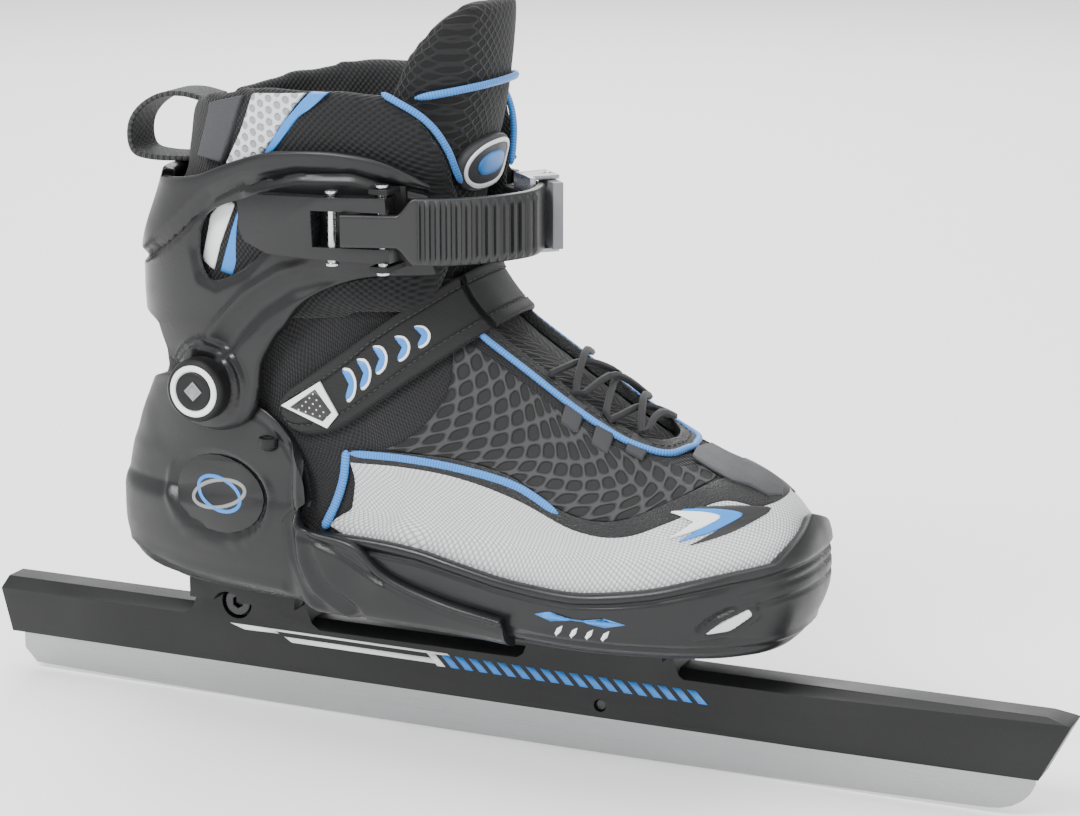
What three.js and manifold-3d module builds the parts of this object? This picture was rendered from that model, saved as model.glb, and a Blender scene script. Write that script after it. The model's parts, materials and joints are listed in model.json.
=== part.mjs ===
// Speed skate for the right foot: a size-adjustable boot on a long straight blade.
// Millimetres. +X towards the toe, +Y towards the wearer's left, +Z up.
// The origin is the lowest point of the blade's edge, in the blade's own plane.
import * as THREE from 'three';
import { mergeVertices } from 'three/addons/utils/BufferGeometryUtils.js';
import Module from 'manifold-3d';

const wasm = await Module();
wasm.setup();

// ---------------------------------------------------------------- driving dimensions
// Blade and frame
const BLADE_LENGTH = 386;
const BLADE_REAR_X = -190;
const BLADE_THICKNESS = 1.2;
const BLADE_DEPTH = 24; // edge to the hidden top
const BLADE_ROCKER = 7000; // radius of the ground edge
const BLADE_FLAT = 60; // middle stretch that stands on the floor
const BLADE_TOE_RADIUS = 16;
const RAIL_BOTTOM = 15.5;
const RAIL_HEIGHT = 20;
const RAIL_HALF = 8;
const RAIL_CHAMFER = 4;
const RAIL_TOP_HALF = 4.6;
const RAIL_OVERHANG = 12; // the front end reaches past the blade
const SLOT_CLEARANCE = 0.3;
const TOWER_HALF = 8;
const PAD_HALF = 15; // mounting pad under the boot
const PAD_HEIGHT = 4;
const REAR_TOWER = { rear: -110, front: -68, spread: 9 };
const FRONT_TOWER = { rear: 20, front: 71, spread: 9 };
const CROSS_BOLT = { x: -95, z: 38.5, headR: 5, headDepth: 4, sunk: 0.6, shankR: 2.5, keyR: 2.2 };
const TANG_HALF = 7.5; // the blade's tang that takes the cross bolt
const TANG_RISE = 6;
const PIN_R = 2;
const PIN_SHY = 1; // the pin stops this far inside the rail's sides

// Boot
const HEEL_X = -134.5;
const FOOT_LENGTH = 253;
const FLOOR_Z = 50.5;
const HEEL_LIFT = 3;
const BOOT_WIDTH = 91;
const SHAFT_HEIGHT = 106; // ankle axis to collar top
const ANKLE_SET = 48.5; // heel back to ankle axis
const ANKLE_HEIGHT = 75.5; // floor to ankle axis
const TEXTILE_WALL = 4.5;
const SHELL_GAP = 0.4;
const SHELL_WALL = 3.2;
const CUFF_GAP = 0.9;
const CUFF_WALL = 3.3;
const SOLE_PLATE = 3.2;
const INSOLE = 4;
const SIZE_TRAVEL = 20; // toe box travel over four sizes
const RING = 20; // corners of each cross-section

// Straps, buckle and pivots
const PIVOT_R = 4;
const PIVOT_CAP_R = 10.8;
const STRAP_WIDTH = 22;
const STRAP_THICK = 2.4;
const LEVER_THICK = 6;
const BUCKLE_PIN_R = 1.6;
const POWER_WIDTH = 21;
const STRAP_HEIGHT = 60; // ankle axis to the middle of the lever and strap
const HINGE_SET = 70; // ankle axis forward to the lever's hinge
const CARRIER_RIVET_R = 1.6;
const FIT_GAP = 0.3;

const TOE_X = HEEL_X + FOOT_LENGTH;
const ANKLE_X = HEEL_X + ANKLE_SET;
const ANKLE_Z = FLOOR_Z + ANKLE_HEIGHT;
const SHELL_OUT = SHELL_GAP + SHELL_WALL;
const CUFF_IN = SHELL_OUT + CUFF_GAP;
const CUFF_OUT = CUFF_IN + CUFF_WALL;
const RAIL_TOP = RAIL_BOTTOM + RAIL_HEIGHT;
const RAIL_FRONT_X = BLADE_REAR_X + BLADE_LENGTH + RAIL_OVERHANG;
const STRAP_Z = ANKLE_Z + STRAP_HEIGHT;
const HINGE_X = ANKLE_X + HINGE_SET;
const CARRIER_RIVET_X = HINGE_X - 7;
const FAR = 400;

// ---------------------------------------------------------------- materials
const finish = (color, roughness, metalness) =>
  new THREE.MeshStandardMaterial({ color, roughness, metalness });
const PLASTIC = finish(0x17181a, 0.45, 0);
const ALLOY = finish(0x1b1c1e, 0.4, 0.3);
const STEEL = finish(0xc4c6c8, 0.28, 1);
const FABRIC = finish(0x1a1a1c, 0.95, 0);
const SILVER = finish(0xc9cccd, 0.7, 0.1);
const WHITE = finish(0xe9eaeb, 0.5, 0);
const RUBBER = finish(0x2a2a2c, 0.8, 0);

// ---------------------------------------------------------------- solids and booleans
function solid(geometry) {
  const bare = geometry.index ? geometry : mergeVertices(geometry);
  const clean = bare.clone();
  clean.deleteAttribute('normal');
  clean.deleteAttribute('uv');
  const merged = mergeVertices(clean, 1e-4);
  return new wasm.Manifold(new wasm.Mesh({
    numProp: 3,
    vertProperties: new Float32Array(merged.attributes.position.array),
    triVerts: new Uint32Array(merged.index.array),
  }));
}

const group = new THREE.Group();

function piece(name, body, material) {
  const made = body.getMesh();
  const geometry = new THREE.BufferGeometry();
  geometry.setAttribute('position', new THREE.BufferAttribute(made.vertProperties, 3));
  geometry.setIndex(new THREE.BufferAttribute(made.triVerts, 1));
  geometry.computeVertexNormals();
  const mesh = new THREE.Mesh(geometry, material);
  mesh.name = name;
  group.add(mesh);
  return mesh;
}

const union = (...bodies) => bodies.reduce((all, one) => all.add(one));

// An outline of [x, z] points carried along Y.
function prismY(points, y0, y1) {
  const shape = new THREE.Shape(points.map(([x, z]) => new THREE.Vector2(x, z)));
  const made = new THREE.ExtrudeGeometry(shape, { depth: y1 - y0, bevelEnabled: false });
  return solid(made.rotateX(Math.PI / 2).translate(0, y1, 0));
}

// An outline of [x, y] points carried along Z.
function prismZ(points, z0, z1) {
  const shape = new THREE.Shape(points.map(([x, y]) => new THREE.Vector2(x, y)));
  const made = new THREE.ExtrudeGeometry(shape, { depth: z1 - z0, bevelEnabled: false });
  return solid(made.translate(0, 0, z0));
}

function box([x0, y0, z0], [x1, y1, z1]) {
  const made = new THREE.BoxGeometry(x1 - x0, y1 - y0, z1 - z0);
  return solid(made.translate((x0 + x1) / 2, (y0 + y1) / 2, (z0 + z1) / 2));
}

function rodY(x, z, r, y0, y1, sides = 16) {
  const made = new THREE.CylinderGeometry(r, r, y1 - y0, sides);
  return solid(made.translate(x, (y0 + y1) / 2, z));
}

function rodZ(x, y, r, z0, z1, sides = 16) {
  const made = new THREE.CylinderGeometry(r, r, z1 - z0, sides);
  return solid(made.rotateX(Math.PI / 2).translate(x, y, (z0 + z1) / 2));
}

// Closed loft through rings that all have the same number of points.
function loft(rings) {
  const count = rings[0].length;
  const points = rings.flat();
  const faces = [];
  for (let i = 0; i + 1 < rings.length; i += 1) {
    for (let k = 0; k < count; k += 1) {
      const a = i * count + k;
      const b = i * count + ((k + 1) % count);
      faces.push(a, b, b + count, a, b + count, a + count);
    }
  }
  const last = (rings.length - 1) * count;
  for (let k = 1; k + 1 < count; k += 1) {
    faces.push(0, k + 1, k, last, last + k, last + k + 1);
  }
  const geometry = new THREE.BufferGeometry();
  geometry.setAttribute('position', new THREE.Float32BufferAttribute(points.flat(), 3));
  geometry.setIndex(faces);
  return solid(geometry);
}

// ---------------------------------------------------------------- the boot's form
// Each section runs from a heel-side point to a toe-side point of the side profile.
// half holds the half-widths a fifth, half and four fifths of the way along it.
const foot = (share) => HEEL_X + share * FOOT_LENGTH;
const DRAWN = { width: 91, shaft: 106, foot: 253 }; // the sections below are drawn at these sizes
const SECTIONS = [
  { rear: [14, 3], front: [0.937, 0], half: [24, 25, 33] },
  { rear: [5, 7], front: [0.975, 4], half: [33, 33, 42] },
  { rear: [0.5, 15], front: [1, 17], half: [37.5, 37.5, 47.5] },
  { rear: [0, 30], front: [0.998, 33], half: [38.5, 38, 46.5] },
  { rear: [0.5, 35], front: [0.986, 41], half: [38.5, 38, 45.5] },
  { rear: [1.5, 40], front: [0.958, 48], half: [38, 38, 43.5] },
  { rear: [2.5, 44], front: [0.923, 53], half: [37.5, 38, 41.5] },
  { rear: [4.5, 49], front: [0.87, 57.5], half: [37, 38, 40] },
  { rear: [6.5, 55], front: [0.81, 64], half: [36.5, 37.5, 38] },
  { rear: [9.5, 62], front: [0.737, 74.5], half: [36, 37, 36.5] },
  { rear: [13, 70], front: [0.666, 86], half: [35.5, 36.5, 35] },
  { rear: [16, 80.5], front: [0.595, 97.5], half: [35, 36, 33.5] },
  { rear: [17.5, 91], front: [0.543, 108.5], half: [34.5, 35.5, 33.5] },
  { rear: [17, 105], front: [0.524, 121.5], half: [34.5, 36, 35] },
  { rear: [18, 119], front: [0.532, 138.5], half: [35, 36.5, 36] },
  { rear: [24.5, 136], front: [0.548, 156.5], half: [36, 37.5, 36.5] },
  { rear: [30.5, 154], front: [0.563, 173.5], half: [37, 38.5, 36.5] },
  { rear: [36, 173], front: [0.571, 191.5], half: [38, 40, 37] },
  { rear: [39, 190], front: [0.575, 208], half: [38, 40, 37] },
];

function sectionEnds() {
  const tall = SHAFT_HEIGHT / DRAWN.shaft;
  const wide = BOOT_WIDTH / DRAWN.width;
  const shaft = (z) => (z > ANKLE_HEIGHT ? ANKLE_HEIGHT + (z - ANKLE_HEIGHT) * tall : z);
  return SECTIONS.map(({ rear, front, half }) => ({
    rear: [HEEL_X + rear[0], FLOOR_Z + shaft(rear[1])],
    front: [foot(front[0]), FLOOR_Z + shaft(front[1])],
    half: half.map((h) => h * wide),
  }));
}

// Outward normal of a side profile at index i; side is -1 at the heel and 1 at the toe.
function profileNormal(points, i, side) {
  if (i === 0) return [side * 0.5, -1];
  const before = points[i - 1];
  const after = points[Math.min(i + 1, points.length - 1)];
  const dx = after[0] - before[0];
  const dz = after[1] - before[1];
  const size = Math.hypot(dx, dz);
  return [side * dz / size, -side * dx / size];
}

// Smooth value between three stations along a section.
function between([a, b, c], u) {
  const t = Math.min(Math.max((u - 0.2) / 0.6, 0), 1);
  if (t < 0.5) return a + (b - a) * (1 - Math.cos(2 * t * Math.PI)) / 2;
  return b + (c - b) * (1 - Math.cos((2 * t - 1) * Math.PI)) / 2;
}

// Squareness of a section: the sole is blunt, the instep round and the shaft between.
function sectionPower(i) {
  if (i < 4) return 2.7;
  return i < 12 ? 2.35 : 2.6;
}

// The boot's form grown outwards by a distance; a deep form gets a higher open top.
function form(grow, { lift = 0, from = 0, count = SECTIONS.length } = {}) {
  const ends = sectionEnds();
  const rears = ends.map((s) => s.rear);
  const fronts = ends.map((s) => s.front);
  const rings = [];
  for (let i = from; i < count; i += 1) {
    const nr = profileNormal(rears, i, -1);
    const nf = profileNormal(fronts, i, 1);
    const up = i === count - 1 ? lift : 0;
    const rear = [rears[i][0] + nr[0] * grow, rears[i][1] + nr[1] * grow + up];
    const front = [fronts[i][0] + nf[0] * grow, fronts[i][1] + nf[1] * grow + up];
    const power = sectionPower(i);
    const ring = [];
    for (let k = 0; k < RING; k += 1) {
      const turn = (2 * Math.PI * (k + 0.5)) / RING;
      const c = Math.cos(turn);
      const s = Math.sin(turn);
      const u = 0.5 - 0.5 * Math.sign(c) * Math.abs(c) ** (2 / power);
      const reach = Math.sign(s) * Math.abs(s) ** (2 / power);
      const half = between(ends[i].half, u) + (i === 0 ? grow * 0.5 : grow);
      const x = rear[0] + (front[0] - rear[0]) * u;
      ring.push([x, -reach * half, rear[1] + (front[1] - rear[1]) * u]);
    }
    rings.push(ring);
  }
  return loft(rings);
}

const layer = (inner, outer) => form(outer).subtract(form(inner, { lift: 8 }));

// Distance out from the middle plane to the grown form at a side point.
const caster = new THREE.Raycaster();
const probes = new Map();
function probe(grow) {
  if (!probes.has(grow)) {
    const made = form(grow).getMesh();
    const geometry = new THREE.BufferGeometry();
    geometry.setAttribute('position', new THREE.BufferAttribute(made.vertProperties, 3));
    geometry.setIndex(new THREE.BufferAttribute(made.triVerts, 1));
    const mesh = new THREE.Mesh(geometry, new THREE.MeshBasicMaterial({ side: THREE.DoubleSide }));
    probes.set(grow, mesh);
  }
  return probes.get(grow);
}
function sideAt(grow, x, z) {
  caster.set(new THREE.Vector3(x, FAR, z), new THREE.Vector3(0, -1, 0));
  return caster.intersectObject(probe(grow))[0].point.y;
}
function topAt(grow, x, y) {
  caster.set(new THREE.Vector3(x, y, FAR), new THREE.Vector3(0, 0, -1));
  return caster.intersectObject(probe(grow))[0].point.z;
}

// ---------------------------------------------------------------- outlines in the side view
const aboutAnkle = (dx, dz) => [ANKLE_X + dx, ANKLE_Z + dz];
const aboveFloor = (x, dz) => [x, FLOOR_Z + dz];

// Ray from the ankle axis at an angle in degrees, measured from +X up.
function ray(angle, reach) {
  const a = THREE.MathUtils.degToRad(angle);
  return aboutAnkle(reach * Math.cos(a), reach * Math.sin(a));
}

const FLEX_GAP_FRONT = [25, 37]; // the cuff flexes forward inside this wedge
const FLEX_GAP_REAR = [152, 159];
const ANKLE_HUB = 27;
const REACH = 260;
const SPLIT_X = foot(0.617); // the toe box's textile starts here
const THROAT_HALF = 15;
const SKIRT_REAR_X = foot(0.342);

// Region above the ankle's flex wedge, less a round hub about the ankle axis.
function cuffSide() {
  const wedge = prismY([aboutAnkle(0, 0), ray(FLEX_GAP_FRONT[1], REACH), ray(90, REACH),
    ray(FLEX_GAP_REAR[0], REACH)], -FAR, FAR);
  return wedge.subtract(rodY(ANKLE_X, ANKLE_Z, ANKLE_HUB + FIT_GAP, -FAR, FAR, 32));
}
function bootSide() {
  const below = prismY([aboutAnkle(0, 0), ray(FLEX_GAP_REAR[1], REACH), ray(200, REACH),
    ray(270, REACH), ray(320, REACH * 1.4), ray(FLEX_GAP_FRONT[0], REACH * 1.4)], -FAR, FAR);
  return below.add(rodY(ANKLE_X, ANKLE_Z, ANKLE_HUB, -FAR, FAR, 32));
}

// ---------------------------------------------------------------- blade and frame
function bladeEdge(x) {
  const off = Math.max(Math.abs(x) - BLADE_FLAT / 2, 0);
  return off ** 2 / (2 * BLADE_ROCKER);
}

const PIN_X = (FRONT_TOWER.rear + FRONT_TOWER.front) / 2;
const PIN_Z = (RAIL_BOTTOM + BLADE_DEPTH) / 2;
const boltHole = () => rodY(CROSS_BOLT.x, CROSS_BOLT.z, CROSS_BOLT.shankR + FIT_GAP, -FAR, FAR);
const pinHole = () => rodY(PIN_X, PIN_Z, PIN_R + FIT_GAP, -FAR, FAR, 12);

function makeBlade() {
  const front = BLADE_REAR_X + BLADE_LENGTH;
  const heel = 5; // cut across the rear corner
  const points = [];
  const steps = 8;
  points.push([BLADE_REAR_X, BLADE_DEPTH]);
  points.push([BLADE_REAR_X, bladeEdge(BLADE_REAR_X) + heel]);
  points.push([BLADE_REAR_X + heel, bladeEdge(BLADE_REAR_X + heel)]);
  for (let i = 1; i < steps; i += 1) {
    const x = BLADE_REAR_X + ((-BLADE_FLAT / 2 - BLADE_REAR_X) * i) / steps;
    points.push([x, bladeEdge(x)]);
  }
  points.push([-BLADE_FLAT / 2, 0], [BLADE_FLAT / 2, 0]);
  const arcX = front - BLADE_TOE_RADIUS;
  for (let i = 1; i < steps; i += 1) {
    const x = BLADE_FLAT / 2 + ((arcX - BLADE_FLAT / 2) * i) / steps;
    points.push([x, bladeEdge(x)]);
  }
  const arcSteps = 5;
  const arcTurn = THREE.MathUtils.degToRad(76);
  for (let i = 0; i <= arcSteps; i += 1) {
    const a = (i / arcSteps) * arcTurn;
    const x = arcX + BLADE_TOE_RADIUS * Math.sin(a);
    points.push([x, bladeEdge(arcX) + BLADE_TOE_RADIUS * 0.8 * (1 - Math.cos(a))]);
  }
  points.push([front, BLADE_DEPTH]);
  const half = BLADE_THICKNESS / 2;
  const tangTop = CROSS_BOLT.z + TANG_RISE;
  points.push([CROSS_BOLT.x + TANG_HALF, BLADE_DEPTH], [CROSS_BOLT.x + TANG_HALF, tangTop],
    [CROSS_BOLT.x - TANG_HALF, tangTop], [CROSS_BOLT.x - TANG_HALF, BLADE_DEPTH]);
  return prismY(points, -half, half).subtract(boltHole()).subtract(pinHole());
}

function railSection(x, shoulder, top, half, topHalf) {
  return [[x, -half, RAIL_BOTTOM], [x, half, RAIL_BOTTOM], [x, half, shoulder], [x, topHalf, top],
    [x, -topHalf, top], [x, -half, shoulder]];
}

function makeRail() {
  const rear = BLADE_REAR_X - 4.5;
  const sections = loft([
    railSection(rear - 5, RAIL_TOP - RAIL_CHAMFER, RAIL_TOP, RAIL_HALF, RAIL_TOP_HALF),
    railSection(TOE_X, RAIL_TOP - RAIL_CHAMFER * 0.5, RAIL_TOP + 1, RAIL_HALF, RAIL_TOP_HALF),
    railSection(RAIL_FRONT_X + 5, RAIL_TOP, RAIL_TOP + 1.5, RAIL_HALF - 2, RAIL_TOP_HALF),
  ]);
  const outline = prismY([[rear + 4.5, RAIL_BOTTOM - 1], [rear, RAIL_TOP - RAIL_CHAMFER],
    [rear + 2.5, RAIL_TOP + 3], [RAIL_FRONT_X - 15, RAIL_TOP + 3],
    [RAIL_FRONT_X, RAIL_TOP - 0.5], [RAIL_FRONT_X - 10.5, RAIL_BOTTOM - 1]], -FAR, FAR);
  return sections.intersect(outline);
}

function tower({ rear, front, spread }) {
  const top = FLOOR_Z + 12;
  const shoulder = FLOOR_Z - SHELL_OUT - 4;
  const base = RAIL_TOP - RAIL_CHAMFER - 1;
  const stem = prismY([[rear - spread, base], [front + spread, base],
    [front + spread * 0.35, base + 4], [front, shoulder], [front, top],
    [rear, top], [rear, shoulder], [rear - spread * 0.35, base + 4]], -TOWER_HALF, TOWER_HALF);
  const pad = box([rear, -PAD_HALF, shoulder - PAD_HEIGHT / 2], [front, PAD_HALF, top]);
  return stem.add(pad);
}

function makeFrame() {
  const half = BLADE_THICKNESS / 2 + SLOT_CLEARANCE;
  const slot = box([BLADE_REAR_X - SLOT_CLEARANCE, -half, 0],
    [BLADE_REAR_X + BLADE_LENGTH + SLOT_CLEARANCE, half, BLADE_DEPTH + SLOT_CLEARANCE]);
  const tang = TANG_HALF + SLOT_CLEARANCE;
  const tangSlot = box([CROSS_BOLT.x - tang, -half, 0],
    [CROSS_BOLT.x + tang, half, CROSS_BOLT.z + TANG_RISE + SLOT_CLEARANCE]);
  const recess = CROSS_BOLT.headR + 1;
  const reach = TOWER_HALF - CROSS_BOLT.headDepth;
  const body = union(makeRail(), tower(REAR_TOWER), tower(FRONT_TOWER));
  const bolts = union(mountBolt(HEEL_BOLT_X, FIT_GAP), mountBolt(TOE_BOLT_X, FIT_GAP));
  const boot = form(SHELL_OUT + FIT_GAP * 2);
  return body.subtract(union(slot, tangSlot, boltHole(), pinHole(), bolts, boot,
    rodY(CROSS_BOLT.x, CROSS_BOLT.z, recess, -FAR, -reach, 20),
    rodY(CROSS_BOLT.x, CROSS_BOLT.z, recess, reach, FAR, 20)));
}

// Cross bolt through the rear tower and the blade's tang, and the nut at its far end.
const BOLT_SEAT = TOWER_HALF - CROSS_BOLT.headDepth + FIT_GAP;
const BOLT_END = TOWER_HALF - CROSS_BOLT.sunk;
function makeCrossBolt() {
  const head = rodY(CROSS_BOLT.x, CROSS_BOLT.z, CROSS_BOLT.headR, -BOLT_END, -BOLT_SEAT, 20);
  const shank = rodY(CROSS_BOLT.x, CROSS_BOLT.z, CROSS_BOLT.shankR, -BOLT_SEAT - 0.5, BOLT_END - 0.4);
  const socket = rodY(CROSS_BOLT.x, CROSS_BOLT.z, CROSS_BOLT.keyR, -FAR, -BOLT_SEAT - 0.7, 6);
  return head.add(shank).subtract(socket);
}
const makeCrossNut = () => rodY(CROSS_BOLT.x, CROSS_BOLT.z, CROSS_BOLT.headR, BOLT_SEAT, BOLT_END, 6)
  .subtract(boltHole());

// Bolt that holds the boot's sole plate down on a tower.
const HEEL_BOLT_X = REAR_TOWER.front - 9;
const TOE_BOLT_X = (FRONT_TOWER.rear + FRONT_TOWER.front) / 2;
const MOUNT_BOLT = { shankR: 2.5, headR: 5, head: 2.4, depth: 12 };
function mountBolt(x, grow = 0) {
  const seat = FLOOR_Z + FIT_GAP + SOLE_PLATE + (x < 0 ? HEEL_LIFT : HEEL_LIFT * 0.4);
  const { shankR, headR, head, depth } = MOUNT_BOLT;
  return rodZ(x, 0, headR + grow, seat + FIT_GAP - grow, seat + head + grow, 12)
    .add(rodZ(x, 0, shankR + grow, FLOOR_Z - depth - grow, seat + 1, 12));
}

// ---------------------------------------------------------------- hard shells
const EAR_R = 12; // heel shell's ear that carries the cuff pivot
const BADGE = { x: HEEL_X + 49.5, z: FLOOR_Z + 36.5, halfX: 19, halfZ: 13.5 };
const BADGE_DEPTH = 1.6;
const RIVET = { x: HEEL_X + 71.5, z: FLOOR_Z + 56.5, shankR: 1.8, headR: 3.6 };
const BUTTON = { x: SKIRT_REAR_X + 6, z: FLOOR_Z + 15, r: 4.6, travel: 1.6 };

// Upright oval carried out to one side of the boot.
function ovalPrism(halfX, halfZ, side) {
  const points = [];
  for (let i = 0; i < 24; i += 1) {
    const a = (i / 24) * 2 * Math.PI;
    points.push([BADGE.x + halfX * Math.cos(a), BADGE.z + halfZ * Math.sin(a)]);
  }
  return prismY(points, side > 0 ? 5 : -FAR, side > 0 ? FAR : -5);
}
const CREASE = [[SKIRT_REAR_X + 17, 50], [SKIRT_REAR_X + 21, 28], [SKIRT_REAR_X + 31, 20],
  [SKIRT_REAR_X + 50, 13], [SKIRT_REAR_X + 73, 9.5], [SKIRT_REAR_X + 73, -20]];

function heelOutline() {
  const x = SKIRT_REAR_X;
  return prismY([[HEEL_X - 30, FLOOR_Z - 20], [HEEL_X - 30, FLOOR_Z + 66], [ANKLE_X - 26, ANKLE_Z - 2],
    [ANKLE_X - 14, ANKLE_Z - 16], [ANKLE_X - 5, ANKLE_Z - 19], [ANKLE_X + 21, ANKLE_Z - 10],
    [x + 5, FLOOR_Z + 55], [x, FLOOR_Z + 50], [x - 2, FLOOR_Z + 30], [x + 6, FLOOR_Z + 29.5],
    aboveFloor(...CREASE[1]), aboveFloor(...CREASE[2]), aboveFloor(...CREASE[3]),
    aboveFloor(...CREASE[4]), aboveFloor(CREASE[4][0], -20)], -FAR, FAR);
}

const SKIRT_IN = SHELL_OUT + SHELL_GAP; // the skirt laps over the toe shell
const SKIRT_OUT = SKIRT_IN + 2.4;

function makeHeelShell() {
  const joinX = SKIRT_REAR_X - 10;
  const rear = form(SHELL_OUT).subtract(form(SHELL_GAP, { lift: 8 }))
    .intersect(box([-FAR, -FAR, -FAR], [joinX + 8, FAR, FAR]));
  const arms = layer(SKIRT_IN, SKIRT_OUT)
    .intersect(box([joinX, -FAR, FLOOR_Z - 1], [FAR, FAR, FAR]));
  const bridge = layer(SHELL_GAP, SKIRT_OUT)
    .intersect(box([joinX, -FAR, FLOOR_Z - 1], [joinX + 8, FAR, FLOOR_Z + 30]));
  const ear = layer(SHELL_GAP, SHELL_OUT).intersect(rodY(ANKLE_X, ANKLE_Z, EAR_R, -FAR, FAR, 24)
    .add(box([ANKLE_X - EAR_R, -FAR, ANKLE_Z - 26], [ANKLE_X + EAR_R, FAR, ANKLE_Z])));
  const pocket = form(CUFF_OUT).subtract(form(SHELL_OUT - BADGE_DEPTH))
    .intersect(ovalPrism(BADGE.halfX + FIT_GAP, BADGE.halfZ + FIT_GAP, -1).add(
      ovalPrism(BADGE.halfX + FIT_GAP, BADGE.halfZ + FIT_GAP, 1)));
  const button = rodY(BUTTON.x, BUTTON.z, BUTTON.r + FIT_GAP, 0, FAR);
  return union(rear, arms, bridge).intersect(heelOutline()).add(ear)
    .subtract(union(mountBolt(HEEL_BOLT_X, FIT_GAP), pocket, button,
      rodY(RIVET.x, RIVET.z, RIVET.shankR + FIT_GAP, -FAR, FAR),
      rodY(ANKLE_X, ANKLE_Z, PIVOT_R + FIT_GAP, -FAR, FAR)));
}

// Upper edge of the toe shell: share of the foot's length and height above the floor.
const BUMPER = [[0.437, 26.5], [0.5, 26.5], [0.559, 24.5], [0.623, 22], [0.682, 21], [0.737, 21],
  [0.792, 22.5], [0.844, 25], [0.891, 28], [0.935, 31], [0.974, 33.5], [1.01, 35], [1.2, 38]];

function makeToeShell() {
  const lip = BUMPER.map(([share, dz]) => aboveFloor(foot(share), dz));
  const outline = prismY([[SKIRT_REAR_X + 0.5, FLOOR_Z - 20], [SKIRT_REAR_X + 0.5, FLOOR_Z + 20], ...lip,
    [foot(1.3), FLOOR_Z - 20]], -FAR, FAR);
  const skin = form(SHELL_OUT).subtract(form(SHELL_GAP));
  const slotHalf = MOUNT_BOLT.shankR + 1.5;
  const slot = box([TOE_BOLT_X - slotHalf - SIZE_TRAVEL, -slotHalf, -FAR],
    [TOE_BOLT_X + slotHalf, slotHalf, FLOOR_Z + 2]);
  const window = [[0.888, 8], [0.925, 15.5], [0.962, 20], [0.958, 15], [0.93, 10]]
    .map(([share, dz]) => [foot(share), FLOOR_Z + dz]);
  return skin.intersect(outline).subtract(slot).subtract(prismY(window, -FAR, FAR));
}

function makeVent(side) {
  const window = [[0.894, 8.6], [0.925, 14.8], [0.958, 18.8], [0.955, 15], [0.93, 10.7]]
    .map(([share, dz]) => [foot(share), FLOOR_Z + dz]);
  const skin = form(SHELL_OUT - 1).subtract(form(SHELL_GAP));
  return skin.intersect(prismY(window, side > 0 ? 1 : -FAR, side > 0 ? FAR : -1));
}

// ---------------------------------------------------------------- textile boot
const WALL_FOOT = FLOOR_Z + SOLE_PLATE + INSOLE + 2.5;
const throat = (half, x0) => prismZ([[x0, -half], [foot(0.75), -half * 0.8], [foot(0.81), -half * 0.4],
  [foot(0.82), 0], [foot(0.81), half * 0.4], [foot(0.75), half * 0.8], [x0, half]],
FLOOR_Z + 45, FAR);

function makeRearUpper() {
  const wall = layer(-TEXTILE_WALL, 0);
  const low = layer(-TEXTILE_WALL - 1.5, -3)
    .intersect(box([SKIRT_REAR_X - 14, -FAR, WALL_FOOT], [SPLIT_X, FAR, FLOOR_Z + 34]));
  const high = wall.intersect(union(
    box([-FAR, -FAR, FLOOR_Z + 29], [SPLIT_X, FAR, FAR]),
    box([-FAR, -FAR, WALL_FOOT + HEEL_LIFT], [SKIRT_REAR_X - 2, FAR, FLOOR_Z + 31])));
  return high.add(low).intersect(bootSide())
    .subtract(throat(THROAT_HALF, ANKLE_X + 60));
}

function makeVamp() {
  return layer(-TEXTILE_WALL, 0)
    .intersect(box([SPLIT_X + FIT_GAP, -FAR, WALL_FOOT], [FAR, FAR, FAR]))
    .intersect(bootSide())
    .subtract(throat(THROAT_HALF, ANKLE_X + 60));
}

function makeTongueLower() {
  const skin = layer(-TEXTILE_WALL * 2 - 0.6, -TEXTILE_WALL - FIT_GAP);
  const strip = prismZ([[ANKLE_X + 45, -24], [foot(0.74), -20], [foot(0.76), 0], [foot(0.74), 20],
    [ANKLE_X + 45, 24]], FLOOR_Z + 45, FAR);
  return skin.intersect(strip).intersect(bootSide());
}

function collarOutline() {
  const top = ANKLE_Z + SHAFT_HEIGHT;
  return prismY([aboutAnkle(-80, -30), [ANKLE_X - 80, top + 30], [ANKLE_X + 58, top + 30],
    [ANKLE_X + 66, top], [ANKLE_X + 77, top - 9], [ANKLE_X + 82, top - 18], [ANKLE_X + 84, top - 30],
    [ANKLE_X + 84, top - 45], aboutAnkle(86, -30)], -FAR, FAR);
}

function makeCollar() {
  const wall = layer(-TEXTILE_WALL, SHELL_OUT).intersect(collarOutline()).intersect(cuffSide());
  const cap = box([-FAR, -FAR, -FAR], [FAR, FAR, ANKLE_Z + SHAFT_HEIGHT - 0.5]);
  return wall.intersect(cap).subtract(box([ANKLE_X + 50, -THROAT_HALF, 0], [FAR, THROAT_HALF, FAR]));
}

function makeTongueUpper() {
  const top = ANKLE_Z + SHAFT_HEIGHT;
  const skin = form(-TEXTILE_WALL - FIT_GAP, { lift: -2 })
    .subtract(form(-TEXTILE_WALL * 2 - 0.6, { lift: 8 }));
  const outline = prismY([aboutAnkle(48, 20), [ANKLE_X + 44, top + 4], [ANKLE_X + 52, top + 14],
    [ANKLE_X + 72, top + 20], [ANKLE_X + 84, top + 24], [ANKLE_X + 120, top + 24],
    aboutAnkle(120, 20)], -FAR, FAR);
  const bulge = form(0).subtract(form(-TEXTILE_WALL * 2 - 0.6, { lift: 8 }))
    .intersect(box([ANKLE_X + 60, -THROAT_HALF + 0.6, 0], [FAR, THROAT_HALF - 0.6, FAR]));
  return skin.add(bulge).intersect(outline).intersect(cuffSide());
}

function makeInsole() {
  const z0 = FLOOR_Z + HEEL_LIFT + SOLE_PLATE + 3.2;
  return form(-6.5).intersect(box([-FAR, -FAR, z0], [FAR, FAR, z0 + INSOLE]));
}

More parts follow.
